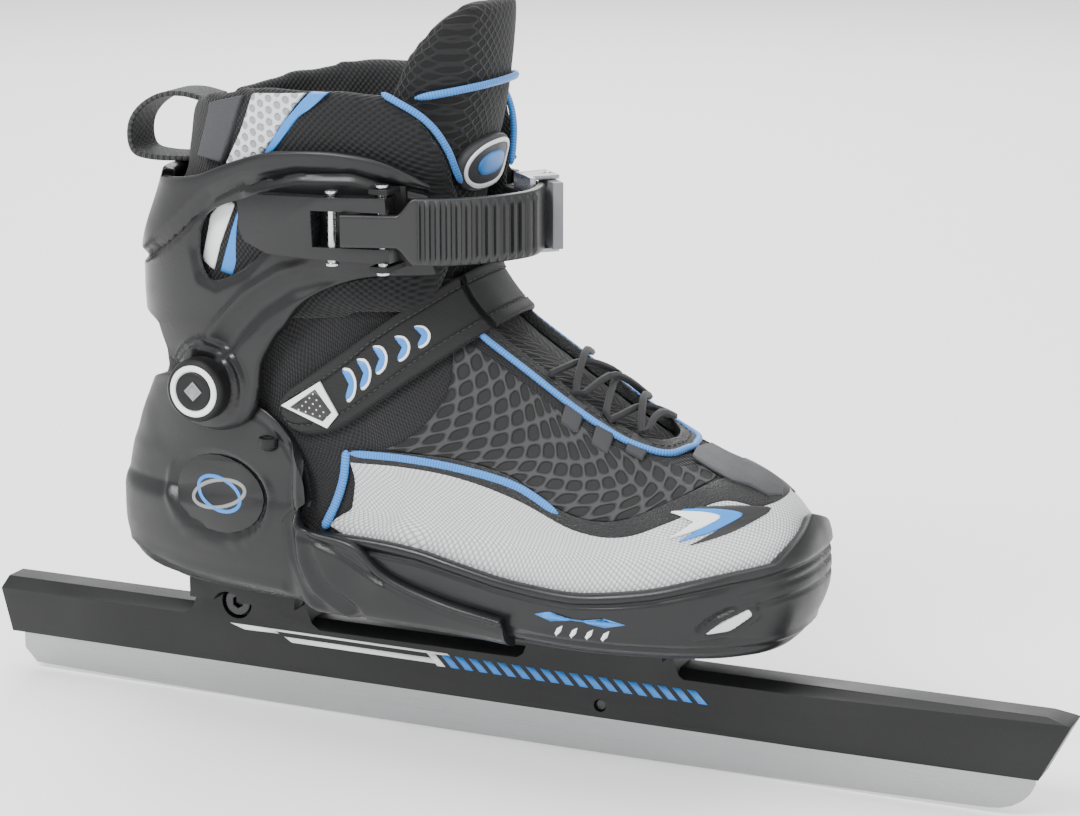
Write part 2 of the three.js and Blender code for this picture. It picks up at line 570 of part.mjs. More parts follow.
function makeSolePlate() {
  const inside = form(-FIT_GAP).intersect(box([HEEL_X + 18, -19, 0], [TOE_BOLT_X + 16, 19, FAR]));
  const top = prismY([[HEEL_X, 0], [HEEL_X, FLOOR_Z + HEEL_LIFT + SOLE_PLATE],
    [TOE_X, FLOOR_Z + SOLE_PLATE], [TOE_X, 0]], -FAR, FAR);
  return inside.intersect(top)
    .subtract(union(mountBolt(HEEL_BOLT_X, FIT_GAP), mountBolt(TOE_BOLT_X, FIT_GAP)));
}

// ---------------------------------------------------------------- cuff
function cuffOutline() {
  const rim = [[-34, 64], [-22, 69], [-6, 74.5], [17, 79], [31, 82.5], [44, 84], [57, 84], [68, 81.5],
    [76, 78], [80, 73]];
  const arm = [[76, 41], [47, 36], [36, 29], [27, 19], [22, 13], [21, 5], [16, -9], [4, -16],
    [-3, -17.5], [-8, -14], [-16, -2], [-17, 17], [-18, 27], [-22, 36]];
  return [...rim, ...arm].map(([dx, dz]) => aboutAnkle(dx, dz));
}

function makeCuff() {
  const sides = prismY(cuffOutline(), -FAR, FAR);
  const back = prismY([[-60, 40], [-60, 62], [-22, 69], [-10, 60], [-10, 30]]
    .map(([dx, dz]) => aboutAnkle(dx, dz)), -FAR, FAR);
  const window = prismY([[-4, 48], [1, 59], [16, 66], [21, 64], [25, 51], [16, 42], [5, 37], [-2, 39]]
    .map(([dx, dz]) => aboutAnkle(dx, dz)), -FAR, FAR);
  return layer(CUFF_IN, CUFF_OUT).intersect(sides.add(back)).subtract(window)
    .subtract(rodY(ANKLE_X, ANKLE_Z, PIVOT_R + FIT_GAP, -FAR, FAR))
    .subtract(rodY(CARRIER_RIVET_X, STRAP_Z, CARRIER_RIVET_R + FIT_GAP, 0, FAR));
}

function makePivotBolt(side) {
  const inner = sideAt(SHELL_GAP, ANKLE_X, ANKLE_Z) + 0.5;
  const outer = sideAt(CUFF_OUT, ANKLE_X, ANKLE_Z);
  const y = side > 0 ? [inner, outer] : [-outer, -inner];
  return rodY(ANKLE_X, ANKLE_Z, PIVOT_R, ...y).subtract(form(SHELL_GAP)).intersect(form(CUFF_OUT));
}

// Domed screw cover over the ankle pivot.
function makePivotCap(side) {
  const outer = sideAt(CUFF_OUT, ANKLE_X, ANKLE_Z);
  const dome = new THREE.LatheGeometry([[0, -4], [PIVOT_CAP_R, -4], [PIVOT_CAP_R, 2.2],
    [PIVOT_CAP_R - 1, 3], [PIVOT_CAP_R - 3.2, 3], [PIVOT_CAP_R - 3.6, 2.4], [0, 2.4]]
    .map(([r, h]) => new THREE.Vector2(r, h)), 28);
  dome.rotateX(side > 0 ? Math.PI / 2 : -Math.PI / 2);
  dome.translate(ANKLE_X, side * outer, ANKLE_Z);
  return solid(dome).subtract(form(CUFF_OUT + FIT_GAP));
}

function makeShellRivet(side) {
  const seat = sideAt(SHELL_OUT, RIVET.x, RIVET.z);
  const tail = -SHELL_WALL - FIT_GAP;
  const dome = new THREE.LatheGeometry([[0, 1.9], [1.6, 1.6], [2.8, 0.9], [RIVET.headR, -0.2],
    [RIVET.headR, -3], [RIVET.shankR, -3], [RIVET.shankR, tail], [0, tail]]
    .reverse().map(([r, h]) => new THREE.Vector2(r, h)), 18);
  dome.rotateX(side > 0 ? Math.PI / 2 : -Math.PI / 2);
  dome.translate(RIVET.x, side * (seat + 0.4), RIVET.z);
  const clear = form(SHELL_OUT + FIT_GAP)
    .subtract(rodY(RIVET.x, RIVET.z, RIVET.shankR + FIT_GAP / 3, -FAR, FAR));
  return solid(dome).subtract(clear);
}

function makeBadge(side) {
  const skin = form(SHELL_OUT - 0.4).subtract(form(SHELL_OUT - BADGE_DEPTH + FIT_GAP));
  return skin.intersect(ovalPrism(BADGE.halfX, BADGE.halfZ, side));
}

function makeSizeButton() {
  const skirt = sideAt(SHELL_OUT, BUTTON.x, BUTTON.z);
  return rodY(BUTTON.x, BUTTON.z, BUTTON.r, skirt + BUTTON.travel + 1, skirt + 6.2, 20);
}

// ---------------------------------------------------------------- buckle and ladder strap
const LEVER_GAP = 3.8;
const LEVER_IN = CUFF_OUT + LEVER_GAP;
const LEVER_OUT = LEVER_IN + LEVER_THICK;
const LEVER_MID = LEVER_IN + LEVER_THICK / 2;
const STRAP_PIN_X = HINGE_X - 16.5;
const LEVER_REAR_X = ANKLE_X + 21;
const HINGE_Y = -sideAt(LEVER_MID, HINGE_X, STRAP_Z);
const STRAP_PIN_Y = -sideAt(LEVER_MID, STRAP_PIN_X, STRAP_Z);
const TONGUE_HALF = 5.4; // narrow root of the ladder strap
const ARC_R = 70; // tail of the strap is an arc about its pin
const CLIP_ANGLE = 47;

const arcPoint = (r, degrees) => {
  const a = THREE.MathUtils.degToRad(degrees);
  return [STRAP_PIN_X + r * Math.cos(a), STRAP_PIN_Y + r * Math.sin(a)];
};

function makeBuckleBase() {
  const half = STRAP_WIDTH / 2;
  const plate = form(CUFF_OUT + 1.3).subtract(form(CUFF_OUT + FIT_GAP))
    .intersect(box([HINGE_X - 6, -FAR, STRAP_Z - half - 2.6], [HINGE_X + 5, 0, STRAP_Z + half + 2.6]));
  const lugs = [-1, 1].map((side) => {
    const near = half + 0.9;
    const z0 = side > 0 ? STRAP_Z + near : STRAP_Z - near - 1.7;
    const lug = box([HINGE_X - 3.4, HINGE_Y - 3.2, z0], [HINGE_X + 3.4, 0, z0 + 1.7]);
    return lug.subtract(form(CUFF_OUT + 1));
  });
  return union(plate, ...lugs).subtract(rodZ(HINGE_X, HINGE_Y, BUCKLE_PIN_R + FIT_GAP, 0, FAR));
}

// Pin across the buckle with a flat head at each end.
function makeBucklePin(x, y, reach) {
  const headR = BUCKLE_PIN_R + 0.6;
  const [z0, z1] = [STRAP_Z - reach, STRAP_Z + reach];
  return union(rodZ(x, y, BUCKLE_PIN_R, z0, z1), rodZ(x, y, headR, z0 - 1, z0),
    rodZ(x, y, headR, z1, z1 + 1));
}

function makeLever() {
  const half = STRAP_WIDTH / 2;
  const outline = prismY([[LEVER_REAR_X, STRAP_Z + half - 3.5], [LEVER_REAR_X + 7, STRAP_Z + half - 1],
    [HINGE_X + 2.8, STRAP_Z + half], [HINGE_X + 2.8, STRAP_Z - half],
    [LEVER_REAR_X + 10, STRAP_Z - half + 1.5], [LEVER_REAR_X + 2, STRAP_Z - half + 5],
    [LEVER_REAR_X, STRAP_Z - half + 9]], -FAR, 0);
  const slot = box([STRAP_PIN_X - 5.5, -FAR, STRAP_Z - TONGUE_HALF - 0.7],
    [FAR, 0, STRAP_Z + TONGUE_HALF + 0.7]);
  const pins = [[HINGE_X, HINGE_Y], [STRAP_PIN_X, STRAP_PIN_Y]]
    .map(([x, y]) => rodZ(x, y, BUCKLE_PIN_R + FIT_GAP, 0, FAR));
  return form(LEVER_OUT).subtract(form(LEVER_IN)).intersect(outline).subtract(union(slot, ...pins));
}

function makeLadderStrap() {
  const rise = BUCKLE_PIN_R + FIT_GAP + 0.2;
  const start = BUCKLE_PIN_R + 2.9; // the strap's end stays out of the pin's swing
  const inner = [[STRAP_PIN_X + start, STRAP_PIN_Y - rise - 0.3], [HINGE_X, HINGE_Y - rise]];
  const along = [[8, 0.6], [19, 5], [28, 12], [34.5, 21.5], [38, 31]]
    .map(([dx, dy]) => [HINGE_X + dx, HINGE_Y + dy]);
  const angles = [38, 41, 44, 47, 50, 53];
  const path = [...inner, ...along, ...angles.map((a) => arcPoint(ARC_R, a))];
  const outer = path.map(([x, y], i) => {
    const [ax, ay] = path[Math.max(i - 1, 0)];
    const [bx, by] = path[Math.min(i + 1, path.length - 1)];
    const size = Math.hypot(bx - ax, by - ay);
    return [x + ((by - ay) / size) * STRAP_THICK, y - ((bx - ax) / size) * STRAP_THICK];
  });
  const band = prismZ([...path, ...outer.reverse()], STRAP_Z - STRAP_WIDTH / 2, STRAP_Z + STRAP_WIDTH / 2);
  const flare = prismY([[STRAP_PIN_X, STRAP_Z - TONGUE_HALF], [HINGE_X + 6, STRAP_Z - TONGUE_HALF],
    [HINGE_X + 10, STRAP_Z - STRAP_WIDTH / 2], [FAR, STRAP_Z - STRAP_WIDTH / 2],
    [FAR, STRAP_Z + STRAP_WIDTH / 2], [HINGE_X + 10, STRAP_Z + STRAP_WIDTH / 2],
    [HINGE_X + 6, STRAP_Z + TONGUE_HALF], [STRAP_PIN_X, STRAP_Z + TONGUE_HALF]], -FAR, FAR);
  return band.intersect(flare);
}

// A block of the clip between two radii and two angles of the strap's arc.
function arcBlock(r0, r1, a0, a1, z0, z1) {
  const points = [];
  for (let i = 0; i <= 4; i += 1) points.push(arcPoint(r1, a0 + ((a1 - a0) * i) / 4));
  for (let i = 4; i >= 0; i -= 1) points.push(arcPoint(r0, a0 + ((a1 - a0) * i) / 4));
  return prismZ(points, z0, z1);
}

const CLIP_PIN_R = ARC_R + 7.2;
const [CLIP_PIN_X, CLIP_PIN_Y] = arcPoint(CLIP_PIN_R, CLIP_ANGLE + 1.5);

function makeClipHousing() {
  const half = STRAP_WIDTH / 2 + 0.6;
  const floor = arcBlock(ARC_R - 2.6, ARC_R - 0.6, CLIP_ANGLE - 6, CLIP_ANGLE + 6,
    STRAP_Z - half - 1.4, STRAP_Z + half + 1.4);
  const wall = (z0) => arcBlock(ARC_R - 1, CLIP_PIN_R + 1.8, CLIP_ANGLE - 3, CLIP_ANGLE + 5.4,
    z0, z0 + 1.4);
  return union(floor, wall(STRAP_Z + half), wall(STRAP_Z - half - 1.4))
    .subtract(rodZ(CLIP_PIN_X, CLIP_PIN_Y, 1 + FIT_GAP, 0, FAR));
}

function makeClipLever() {
  const half = STRAP_WIDTH / 2 + 0.2;
  const plate = arcBlock(ARC_R + STRAP_THICK + 2.6, CLIP_PIN_R + 1.4, CLIP_ANGLE - 7, CLIP_ANGLE + 3.6,
    STRAP_Z - half, STRAP_Z + half);
  const strapOut = ARC_R + STRAP_THICK;
  const pawl = arcBlock(strapOut + 0.5, strapOut + 3, CLIP_ANGLE - 1, CLIP_ANGLE + 1.4,
    STRAP_Z - half + 2, STRAP_Z + half - 2);
  return plate.add(pawl).subtract(rodZ(CLIP_PIN_X, CLIP_PIN_Y, 1 + FIT_GAP, 0, FAR));
}

function makeClipPin() {
  const half = STRAP_WIDTH / 2 + 2.3;
  return rodZ(CLIP_PIN_X, CLIP_PIN_Y, 1, STRAP_Z - half, STRAP_Z + half, 12);
}

// Short strap that carries the clip from the far side of the cuff.
const CARRIER_HALF = 8;
function makeClipCarrier() {
  const side = form(CUFF_OUT + FIT_GAP + 2).subtract(form(CUFF_OUT + FIT_GAP))
    .intersect(box([HINGE_X - 12, 0, STRAP_Z - CARRIER_HALF], [HINGE_X + 12, FAR, STRAP_Z + CARRIER_HALF]));
  const y = sideAt(CUFF_OUT + FIT_GAP, HINGE_X + 12, STRAP_Z);
  const seat = arcBlock(ARC_R - 4.9, ARC_R - 2.9, CLIP_ANGLE - 5, CLIP_ANGLE + 8,
    STRAP_Z - CARRIER_HALF, STRAP_Z + CARRIER_HALF);
  const [ox, oy] = arcPoint(ARC_R - 2.9, CLIP_ANGLE + 8);
  const link = prismZ([[HINGE_X + 9, y + 4.2], [HINGE_X + 20, y - 1], [ox + 2.8, oy + 12],
    [ox, oy - 0.5], [ox - 2.4, oy], [ox + 0.6, oy + 11.2], [HINGE_X + 18.4, y - 3],
    [HINGE_X + 9, y + 1.6]], STRAP_Z - CARRIER_HALF, STRAP_Z + CARRIER_HALF);
  const cuffRoom = form(CUFF_OUT + FIT_GAP).intersect(box([-FAR, -FAR, 0], [ANKLE_X + 87, FAR, FAR]));
  return union(side, link.subtract(cuffRoom), seat)
    .subtract(rodY(CARRIER_RIVET_X, STRAP_Z, CARRIER_RIVET_R + FIT_GAP, 0, FAR));
}

function makeCarrierRivet() {
  const seat = sideAt(CUFF_OUT + FIT_GAP + 2, CARRIER_RIVET_X, STRAP_Z);
  const head = rodY(CARRIER_RIVET_X, STRAP_Z, CARRIER_RIVET_R * 2, seat - 3, seat + 2)
    .subtract(form(CUFF_OUT + FIT_GAP * 2 + 2));
  return head.add(rodY(CARRIER_RIVET_X, STRAP_Z, CARRIER_RIVET_R, seat - 4.6, seat + 1.5));
}

// ---------------------------------------------------------------- power strap, laces, trims
const POWER_ANGLE = 37;
const POWER_THICK = 3;
const POWER_SPLIT = -17; // the strap opens here
const POWER_HINGE_GAP = 2.4; // room for the fold
const POWER_MID = [ANKLE_X + 66.5, ANKLE_Z + 14.5];

function powerPoint(s, n) {
  const a = THREE.MathUtils.degToRad(POWER_ANGLE);
  const [x, z] = POWER_MID;
  return [x + s * Math.cos(a) - n * Math.sin(a), z + s * Math.sin(a) + n * Math.cos(a)];
}

function makePowerStrap(y0, y1) {
  const half = POWER_WIDTH / 2;
  const outline = prismY([[-44, 6], [-43.5, -2], [-30, -9.5], [-22, -half], [70, -half], [70, half],
    [-36, half], [-42, half - 2]].map(([s, n]) => powerPoint(s, n)), -FAR, FAR);
  const shell = layer(SHELL_GAP, SKIRT_OUT + FIT_GAP).intersect(heelOutline());
  return layer(SHELL_GAP + 0.1, SHELL_GAP + POWER_THICK).intersect(outline)
    .intersect(box([-FAR, y0, -FAR], [FAR, y1, FAR])).subtract(shell);
}

function makeStrapBadge() {
  const skin = form(SHELL_GAP + POWER_THICK + 1.1).subtract(form(SHELL_GAP + POWER_THICK + FIT_GAP));
  return skin.intersect(prismY([[ANKLE_X + 28.5, ANKLE_Z - 4], [ANKLE_X + 43, ANKLE_Z + 5.5],
    [ANKLE_X + 50, ANKLE_Z - 5], [ANKLE_X + 46, ANKLE_Z - 10]], -FAR, -5));
}

// Lace: one flat cord that runs up the throat and back, crossing itself three times.
const LACE = { radius: 1.3, clear: 2.5, crossing: 3 };
const EYELETS = [foot(0.78), foot(0.737), foot(0.694), foot(0.655)];
const eyeletHalf = (i) => THROAT_HALF + 2.6 - (i === 0 ? 3.4 : 0);

function makeLace() {
  const turn = (i, side) => {
    const x = EYELETS[i];
    const y = side * eyeletHalf(i);
    const slope = (topAt(0, x, y) - topAt(0, x, y + side * 3)) / 3;
    return new THREE.Vector3(x, y, topAt(0, x, y) + LACE.clear * Math.hypot(1, slope));
  };
  const cross = (i, raise) => {
    const x = (EYELETS[i] + EYELETS[i + 1]) / 2;
    return new THREE.Vector3(x, 0, topAt(0, x, 0) + LACE.clear + 0.6 + raise);
  };
  const bar = new THREE.Vector3(EYELETS[0], 0, topAt(0, EYELETS[0], 0) + LACE.clear + 1.8);
  const over = LACE.crossing;
  const points = [turn(3, -1), cross(2, 0), turn(2, 1), cross(1, 0), turn(1, -1), cross(0, 0),
    turn(0, 1), bar, turn(0, -1), cross(0, over), turn(1, 1), cross(1, over), turn(2, -1),
    cross(2, over), turn(3, 1)];
  const curve = new THREE.CatmullRomCurve3(points, false, 'centripetal');
  const shape = new THREE.Shape();
  const sides = 6;
  for (let i = 0; i < sides; i += 1) {
    const a = (2 * Math.PI * (i + 0.5)) / sides;
    const corner = [Math.cos(a) * LACE.radius, Math.sin(a) * LACE.radius];
    if (i === 0) shape.moveTo(...corner); else shape.lineTo(...corner);
  }
  return solid(new THREE.ExtrudeGeometry(shape, { steps: 60, extrudePath: curve, bevelEnabled: false }));
}

// Webbing tab that holds the lace down at an eyelet.
const TAB_HALF = 3;
function makeLaceTab(i, side) {
  const x = EYELETS[i];
  const half = eyeletHalf(i);
  const y0 = side * (half - 0.5);
  const y1 = side * (half + 7);
  const skin = form(0.3 + 0.9).subtract(form(0.3));
  return skin.intersect(box([x - TAB_HALF, Math.min(y0, y1), topAt(0, x, 0) - 12],
    [x + TAB_HALF, Math.max(y0, y1), FAR]));
}

function makeToePatch() {
  const skin = form(1.4).subtract(form(0.3));
  const outline = prismZ([[foot(0.842), -9], [foot(0.9), -11], [foot(0.945), -7], [foot(0.955), 0],
    [foot(0.945), 7], [foot(0.9), 11], [foot(0.842), 9], [foot(0.835), 0]], FLOOR_Z + 40, FAR);
  return skin.intersect(outline);
}

// Webbing loop at the back of the collar for pulling the boot on.
function makePullLoop() {
  const outer = [[-12, 95], [-30, 95], [-41, 91], [-47, 84], [-49, 76], [-46, 71], [-38, 69.5],
    [-16, 69.5]].map(([dx, dz]) => aboutAnkle(dx, dz));
  const inner = [[-12, 93], [-30, 93], [-39.8, 89.2], [-45, 83], [-46.7, 76.4], [-44.6, 72.8],
    [-38, 71.5], [-16, 71.5]].map(([dx, dz]) => aboutAnkle(dx, dz));
  return prismY(outer, -8, 8).subtract(prismY(inner, -FAR, FAR)).subtract(form(SHELL_OUT + FIT_GAP));
}

// ---------------------------------------------------------------- assembly
piece('blade', makeBlade(), STEEL);
piece('frame_rail', makeFrame(), ALLOY);
piece('rear_blade_bolt', makeCrossBolt(), STEEL);
piece('rear_blade_nut', makeCrossNut(), STEEL);
piece('front_blade_pin', rodY(PIN_X, PIN_Z, PIN_R, PIN_SHY - RAIL_HALF, RAIL_HALF - PIN_SHY, 12), STEEL);
piece('heel_mount_bolt', mountBolt(HEEL_BOLT_X), STEEL);
piece('toe_mount_bolt', mountBolt(TOE_BOLT_X), STEEL);
piece('heel_shell', makeHeelShell(), PLASTIC);
piece('toe_shell', makeToeShell(), PLASTIC);
piece('vent_insert_right', makeVent(-1), SILVER);
piece('vent_insert_left', makeVent(1), SILVER);
piece('rear_upper', makeRearUpper(), FABRIC);
piece('vamp', makeVamp(), SILVER);
piece('tongue_lower', makeTongueLower(), FABRIC);
piece('insole', makeInsole(), RUBBER);
piece('sole_plate', makeSolePlate(), PLASTIC);
piece('collar', makeCollar(), FABRIC);
piece('tongue_upper', makeTongueUpper(), FABRIC);
piece('cuff_shell', makeCuff(), PLASTIC);

for (const [hand, side] of [['right', -1], ['left', 1]]) {
  piece(`pivot_bolt_${hand}`, makePivotBolt(side), STEEL);
  piece(`pivot_cap_${hand}`, makePivotCap(side), WHITE);
  piece(`shell_rivet_${hand}`, makeShellRivet(side), PLASTIC);
  piece(`side_badge_${hand}`, makeBadge(side), PLASTIC);
}
piece('size_button', makeSizeButton(), RUBBER);
piece('buckle_base', makeBuckleBase(), STEEL);
piece('buckle_hinge_pin', makeBucklePin(HINGE_X, HINGE_Y, STRAP_WIDTH / 2 + 2.9), STEEL);
piece('buckle_lever', makeLever(), PLASTIC);
piece('lever_strap_pin', makeBucklePin(STRAP_PIN_X, STRAP_PIN_Y, STRAP_WIDTH / 2 + 0.4), STEEL);
piece('ladder_strap', makeLadderStrap(), PLASTIC);
piece('clip_carrier', makeClipCarrier(), PLASTIC);
piece('clip_rivet', makeCarrierRivet(), STEEL);
piece('clip_housing', makeClipHousing(), STEEL);
piece('clip_pin', makeClipPin(), STEEL);
piece('clip_lever', makeClipLever(), PLASTIC);
piece('power_strap_base', makePowerStrap(POWER_SPLIT + POWER_HINGE_GAP, FAR), FABRIC);
piece('power_strap_flap', makePowerStrap(-FAR, POWER_SPLIT), FABRIC);
piece('strap_badge', makeStrapBadge(), WHITE);
piece('lace', makeLace(), FABRIC);
for (let i = 0; i < 3; i += 1) {
  piece(`lace_tab_right_${i + 1}`, makeLaceTab(i, -1), RUBBER);
  piece(`lace_tab_left_${i + 1}`, makeLaceTab(i, 1), RUBBER);
}
piece('toe_patch', makeToePatch(), RUBBER);
piece('pull_loop', makePullLoop(), FABRIC);

export default group;
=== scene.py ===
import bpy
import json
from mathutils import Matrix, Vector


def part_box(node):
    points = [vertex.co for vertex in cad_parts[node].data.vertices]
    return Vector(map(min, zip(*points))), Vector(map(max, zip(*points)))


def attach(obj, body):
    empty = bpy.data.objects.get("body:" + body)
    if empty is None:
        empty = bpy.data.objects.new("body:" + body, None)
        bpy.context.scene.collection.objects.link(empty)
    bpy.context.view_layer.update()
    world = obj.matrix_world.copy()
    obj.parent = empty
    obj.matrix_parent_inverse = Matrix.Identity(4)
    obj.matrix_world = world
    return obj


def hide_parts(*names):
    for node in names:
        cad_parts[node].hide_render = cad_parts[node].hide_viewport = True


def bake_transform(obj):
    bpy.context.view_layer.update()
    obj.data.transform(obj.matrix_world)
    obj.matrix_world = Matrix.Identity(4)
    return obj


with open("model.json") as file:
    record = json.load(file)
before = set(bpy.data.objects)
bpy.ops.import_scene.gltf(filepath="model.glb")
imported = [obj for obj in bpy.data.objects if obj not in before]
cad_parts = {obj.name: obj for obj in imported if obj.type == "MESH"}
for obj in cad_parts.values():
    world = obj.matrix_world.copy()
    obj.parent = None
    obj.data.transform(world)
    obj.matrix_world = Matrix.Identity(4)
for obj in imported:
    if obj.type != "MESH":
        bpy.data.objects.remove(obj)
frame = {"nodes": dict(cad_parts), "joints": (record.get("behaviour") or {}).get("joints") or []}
"""Visual model of a size-adjustable speed skate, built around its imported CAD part.

Lengths are millimetres until a mesh is made, and every mesh is placed in metres in the CAD frame:
+X towards the toe, +Y to the wearer's left, +Z up, with the origin at the lowest point of the blade.
"""
import json
import logging
import math
from dataclasses import dataclass, field
from enum import Enum
from typing import Callable, Optional, Sequence

import bmesh
import bpy
import numpy as np
from mathutils import Vector

logging.basicConfig(level=logging.INFO, format="%(message)s")
log = logging.getLogger("skate")
MM = 0.001
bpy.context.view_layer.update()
Array = np.ndarray


# ------------------------------------------------------------------ sizes read from the frame
def node_box(name: str) -> tuple[Array, Array]:
    """Lowest and highest corner of a CAD node at rest, in millimetres."""
    low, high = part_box(name)
    return np.array(low) / MM, np.array(high) / MM


def joint_place(name: str) -> Array:
    """Point on the axis of a joint, in millimetres."""
    found = next(j for j in frame["joints"] if j["name"] == name)
    return np.array(found["pos_m"], float) / MM


@dataclass(frozen=True)
class Layout:
    """Driving sizes of the boot, in millimetres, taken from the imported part."""

    shell_out: float = 3.6
    ankle: Array = field(default_factory=lambda: joint_place("cuff_flex"))
    hinge: Array = field(default_factory=lambda: joint_place("lever_hinge"))
    strap_pin: Array = field(default_factory=lambda: joint_place("strap_swing"))
    clip_pin: Array = field(default_factory=lambda: joint_place("clip_release"))
    rail: tuple = field(default_factory=lambda: node_box("frame_rail"))
    button: tuple = field(default_factory=lambda: node_box("size_button"))

    @property
    def heel_x(self) -> float:
        """Back of the boot's textile."""
        return self.ankle[0] - 48.5

    @property
    def floor_z(self) -> float:
        """Underside of the boot's form."""
        return self.ankle[2] - 75.5

    @property
    def foot_length(self) -> float:
        """Length of the boot's form, heel to toe."""
        return node_box("toe_shell")[1][0] - self.shell_out - self.heel_x


SIZES = Layout()
AX, AZ = SIZES.ankle[0], SIZES.ankle[2]


# ------------------------------------------------------------------ curves
def spline(values: Array, t: Array) -> Array:
    """Catmull-Rom curve through the rows of values, one at each whole number.

    Args:
        values: One row for each station.
        t: Places along the rows, of any shape.

    Returns:
        Rows at t: the cubic whose slope at a station is half the step between its neighbours.
    """
    values = np.asarray(values, float)
    last = len(values) - 1
    i = np.clip(np.floor(t).astype(int), 0, last - 1)
    f = (t - i)[..., None]
    a, b, c, d = (values[np.clip(i + k, 0, last)] for k in (-1, 0, 1, 2))
    a = np.where((i == 0)[..., None], 2 * b - c, a)
    d = np.where((i == last - 1)[..., None], 2 * c - b, d)
    return 0.5 * (2 * b + (c - a) * f + (2 * a - 5 * b + 4 * c - d) * f**2
                  + (3 * b - a - 3 * c + d) * f**3)


def curve(points: Sequence, count: int, closed: bool = False, straight: bool = False) -> Array:
    """Even steps along a smooth curve through given points.

    Args:
        points: Rows of coordinates.
        count: Number of rows returned.
        closed: Whether the curve returns to its start.
        straight: Straight runs between the points instead of a spline.

    Returns:
        count rows, evenly spaced by arc length.
    """
    rows = np.asarray(points, float)
    if closed:
        rows = np.vstack([rows[-1:], rows, rows[:2]])
        t = np.linspace(1, len(rows) - 2, 24 * len(rows) + 1)
    else:
        t = np.linspace(0, len(rows) - 1, 24 * len(rows) + 1)
    if straight:
        fine = pick(t, np.arange(len(rows)), rows)
    else:
        fine = spline(rows, t)
    run = arc(fine)
    return pick(np.linspace(0, run[-1], count + 1 if closed else count)[:count], run, fine)


def arc(rows: Array) -> Array:
    """Distance run along rows of places, 0 at the first."""
    return np.concatenate([[0], np.cumsum(np.linalg.norm(np.diff(rows, axis=0), axis=1))])


def pick(want: Array, run: Array, rows: Array) -> Array:
    """Rows found between the given ones at the wanted distances."""
    return np.stack([np.interp(want, run, rows[:, k]) for k in range(rows.shape[1])], 1)


def smooth_step(x: Array, low: float, high: float) -> Array:
    """0 below low, 1 above high, and the cubic 3f^2 - 2f^3 between."""
    f = np.clip((x - low) / (high - low), 0, 1)
    return f * f * (3 - 2 * f)


def bump(x: Array, centre: float, half: float) -> Array:
    """Raised cosine, 1 at the centre and 0 from half outwards."""
    d = np.clip(np.abs(x - centre) / half, 0, 1)
    return 0.5 + 0.5 * np.cos(math.pi * d)


def distance_to_path(x: Array, z: Array, path: Sequence) -> Array:
    """Shortest distance in the side view from points to a path of straight runs."""
    p = np.asarray(path, float)
    q = np.stack([x, z], -1)[..., None, :]
    a, d = p[:-1], np.diff(p, axis=0)
    f = np.clip(((q - a) * d).sum(-1) / (d**2).sum(-1), 0, 1)
    return np.linalg.norm(q - (a + f[..., None] * d), axis=-1).min(-1)


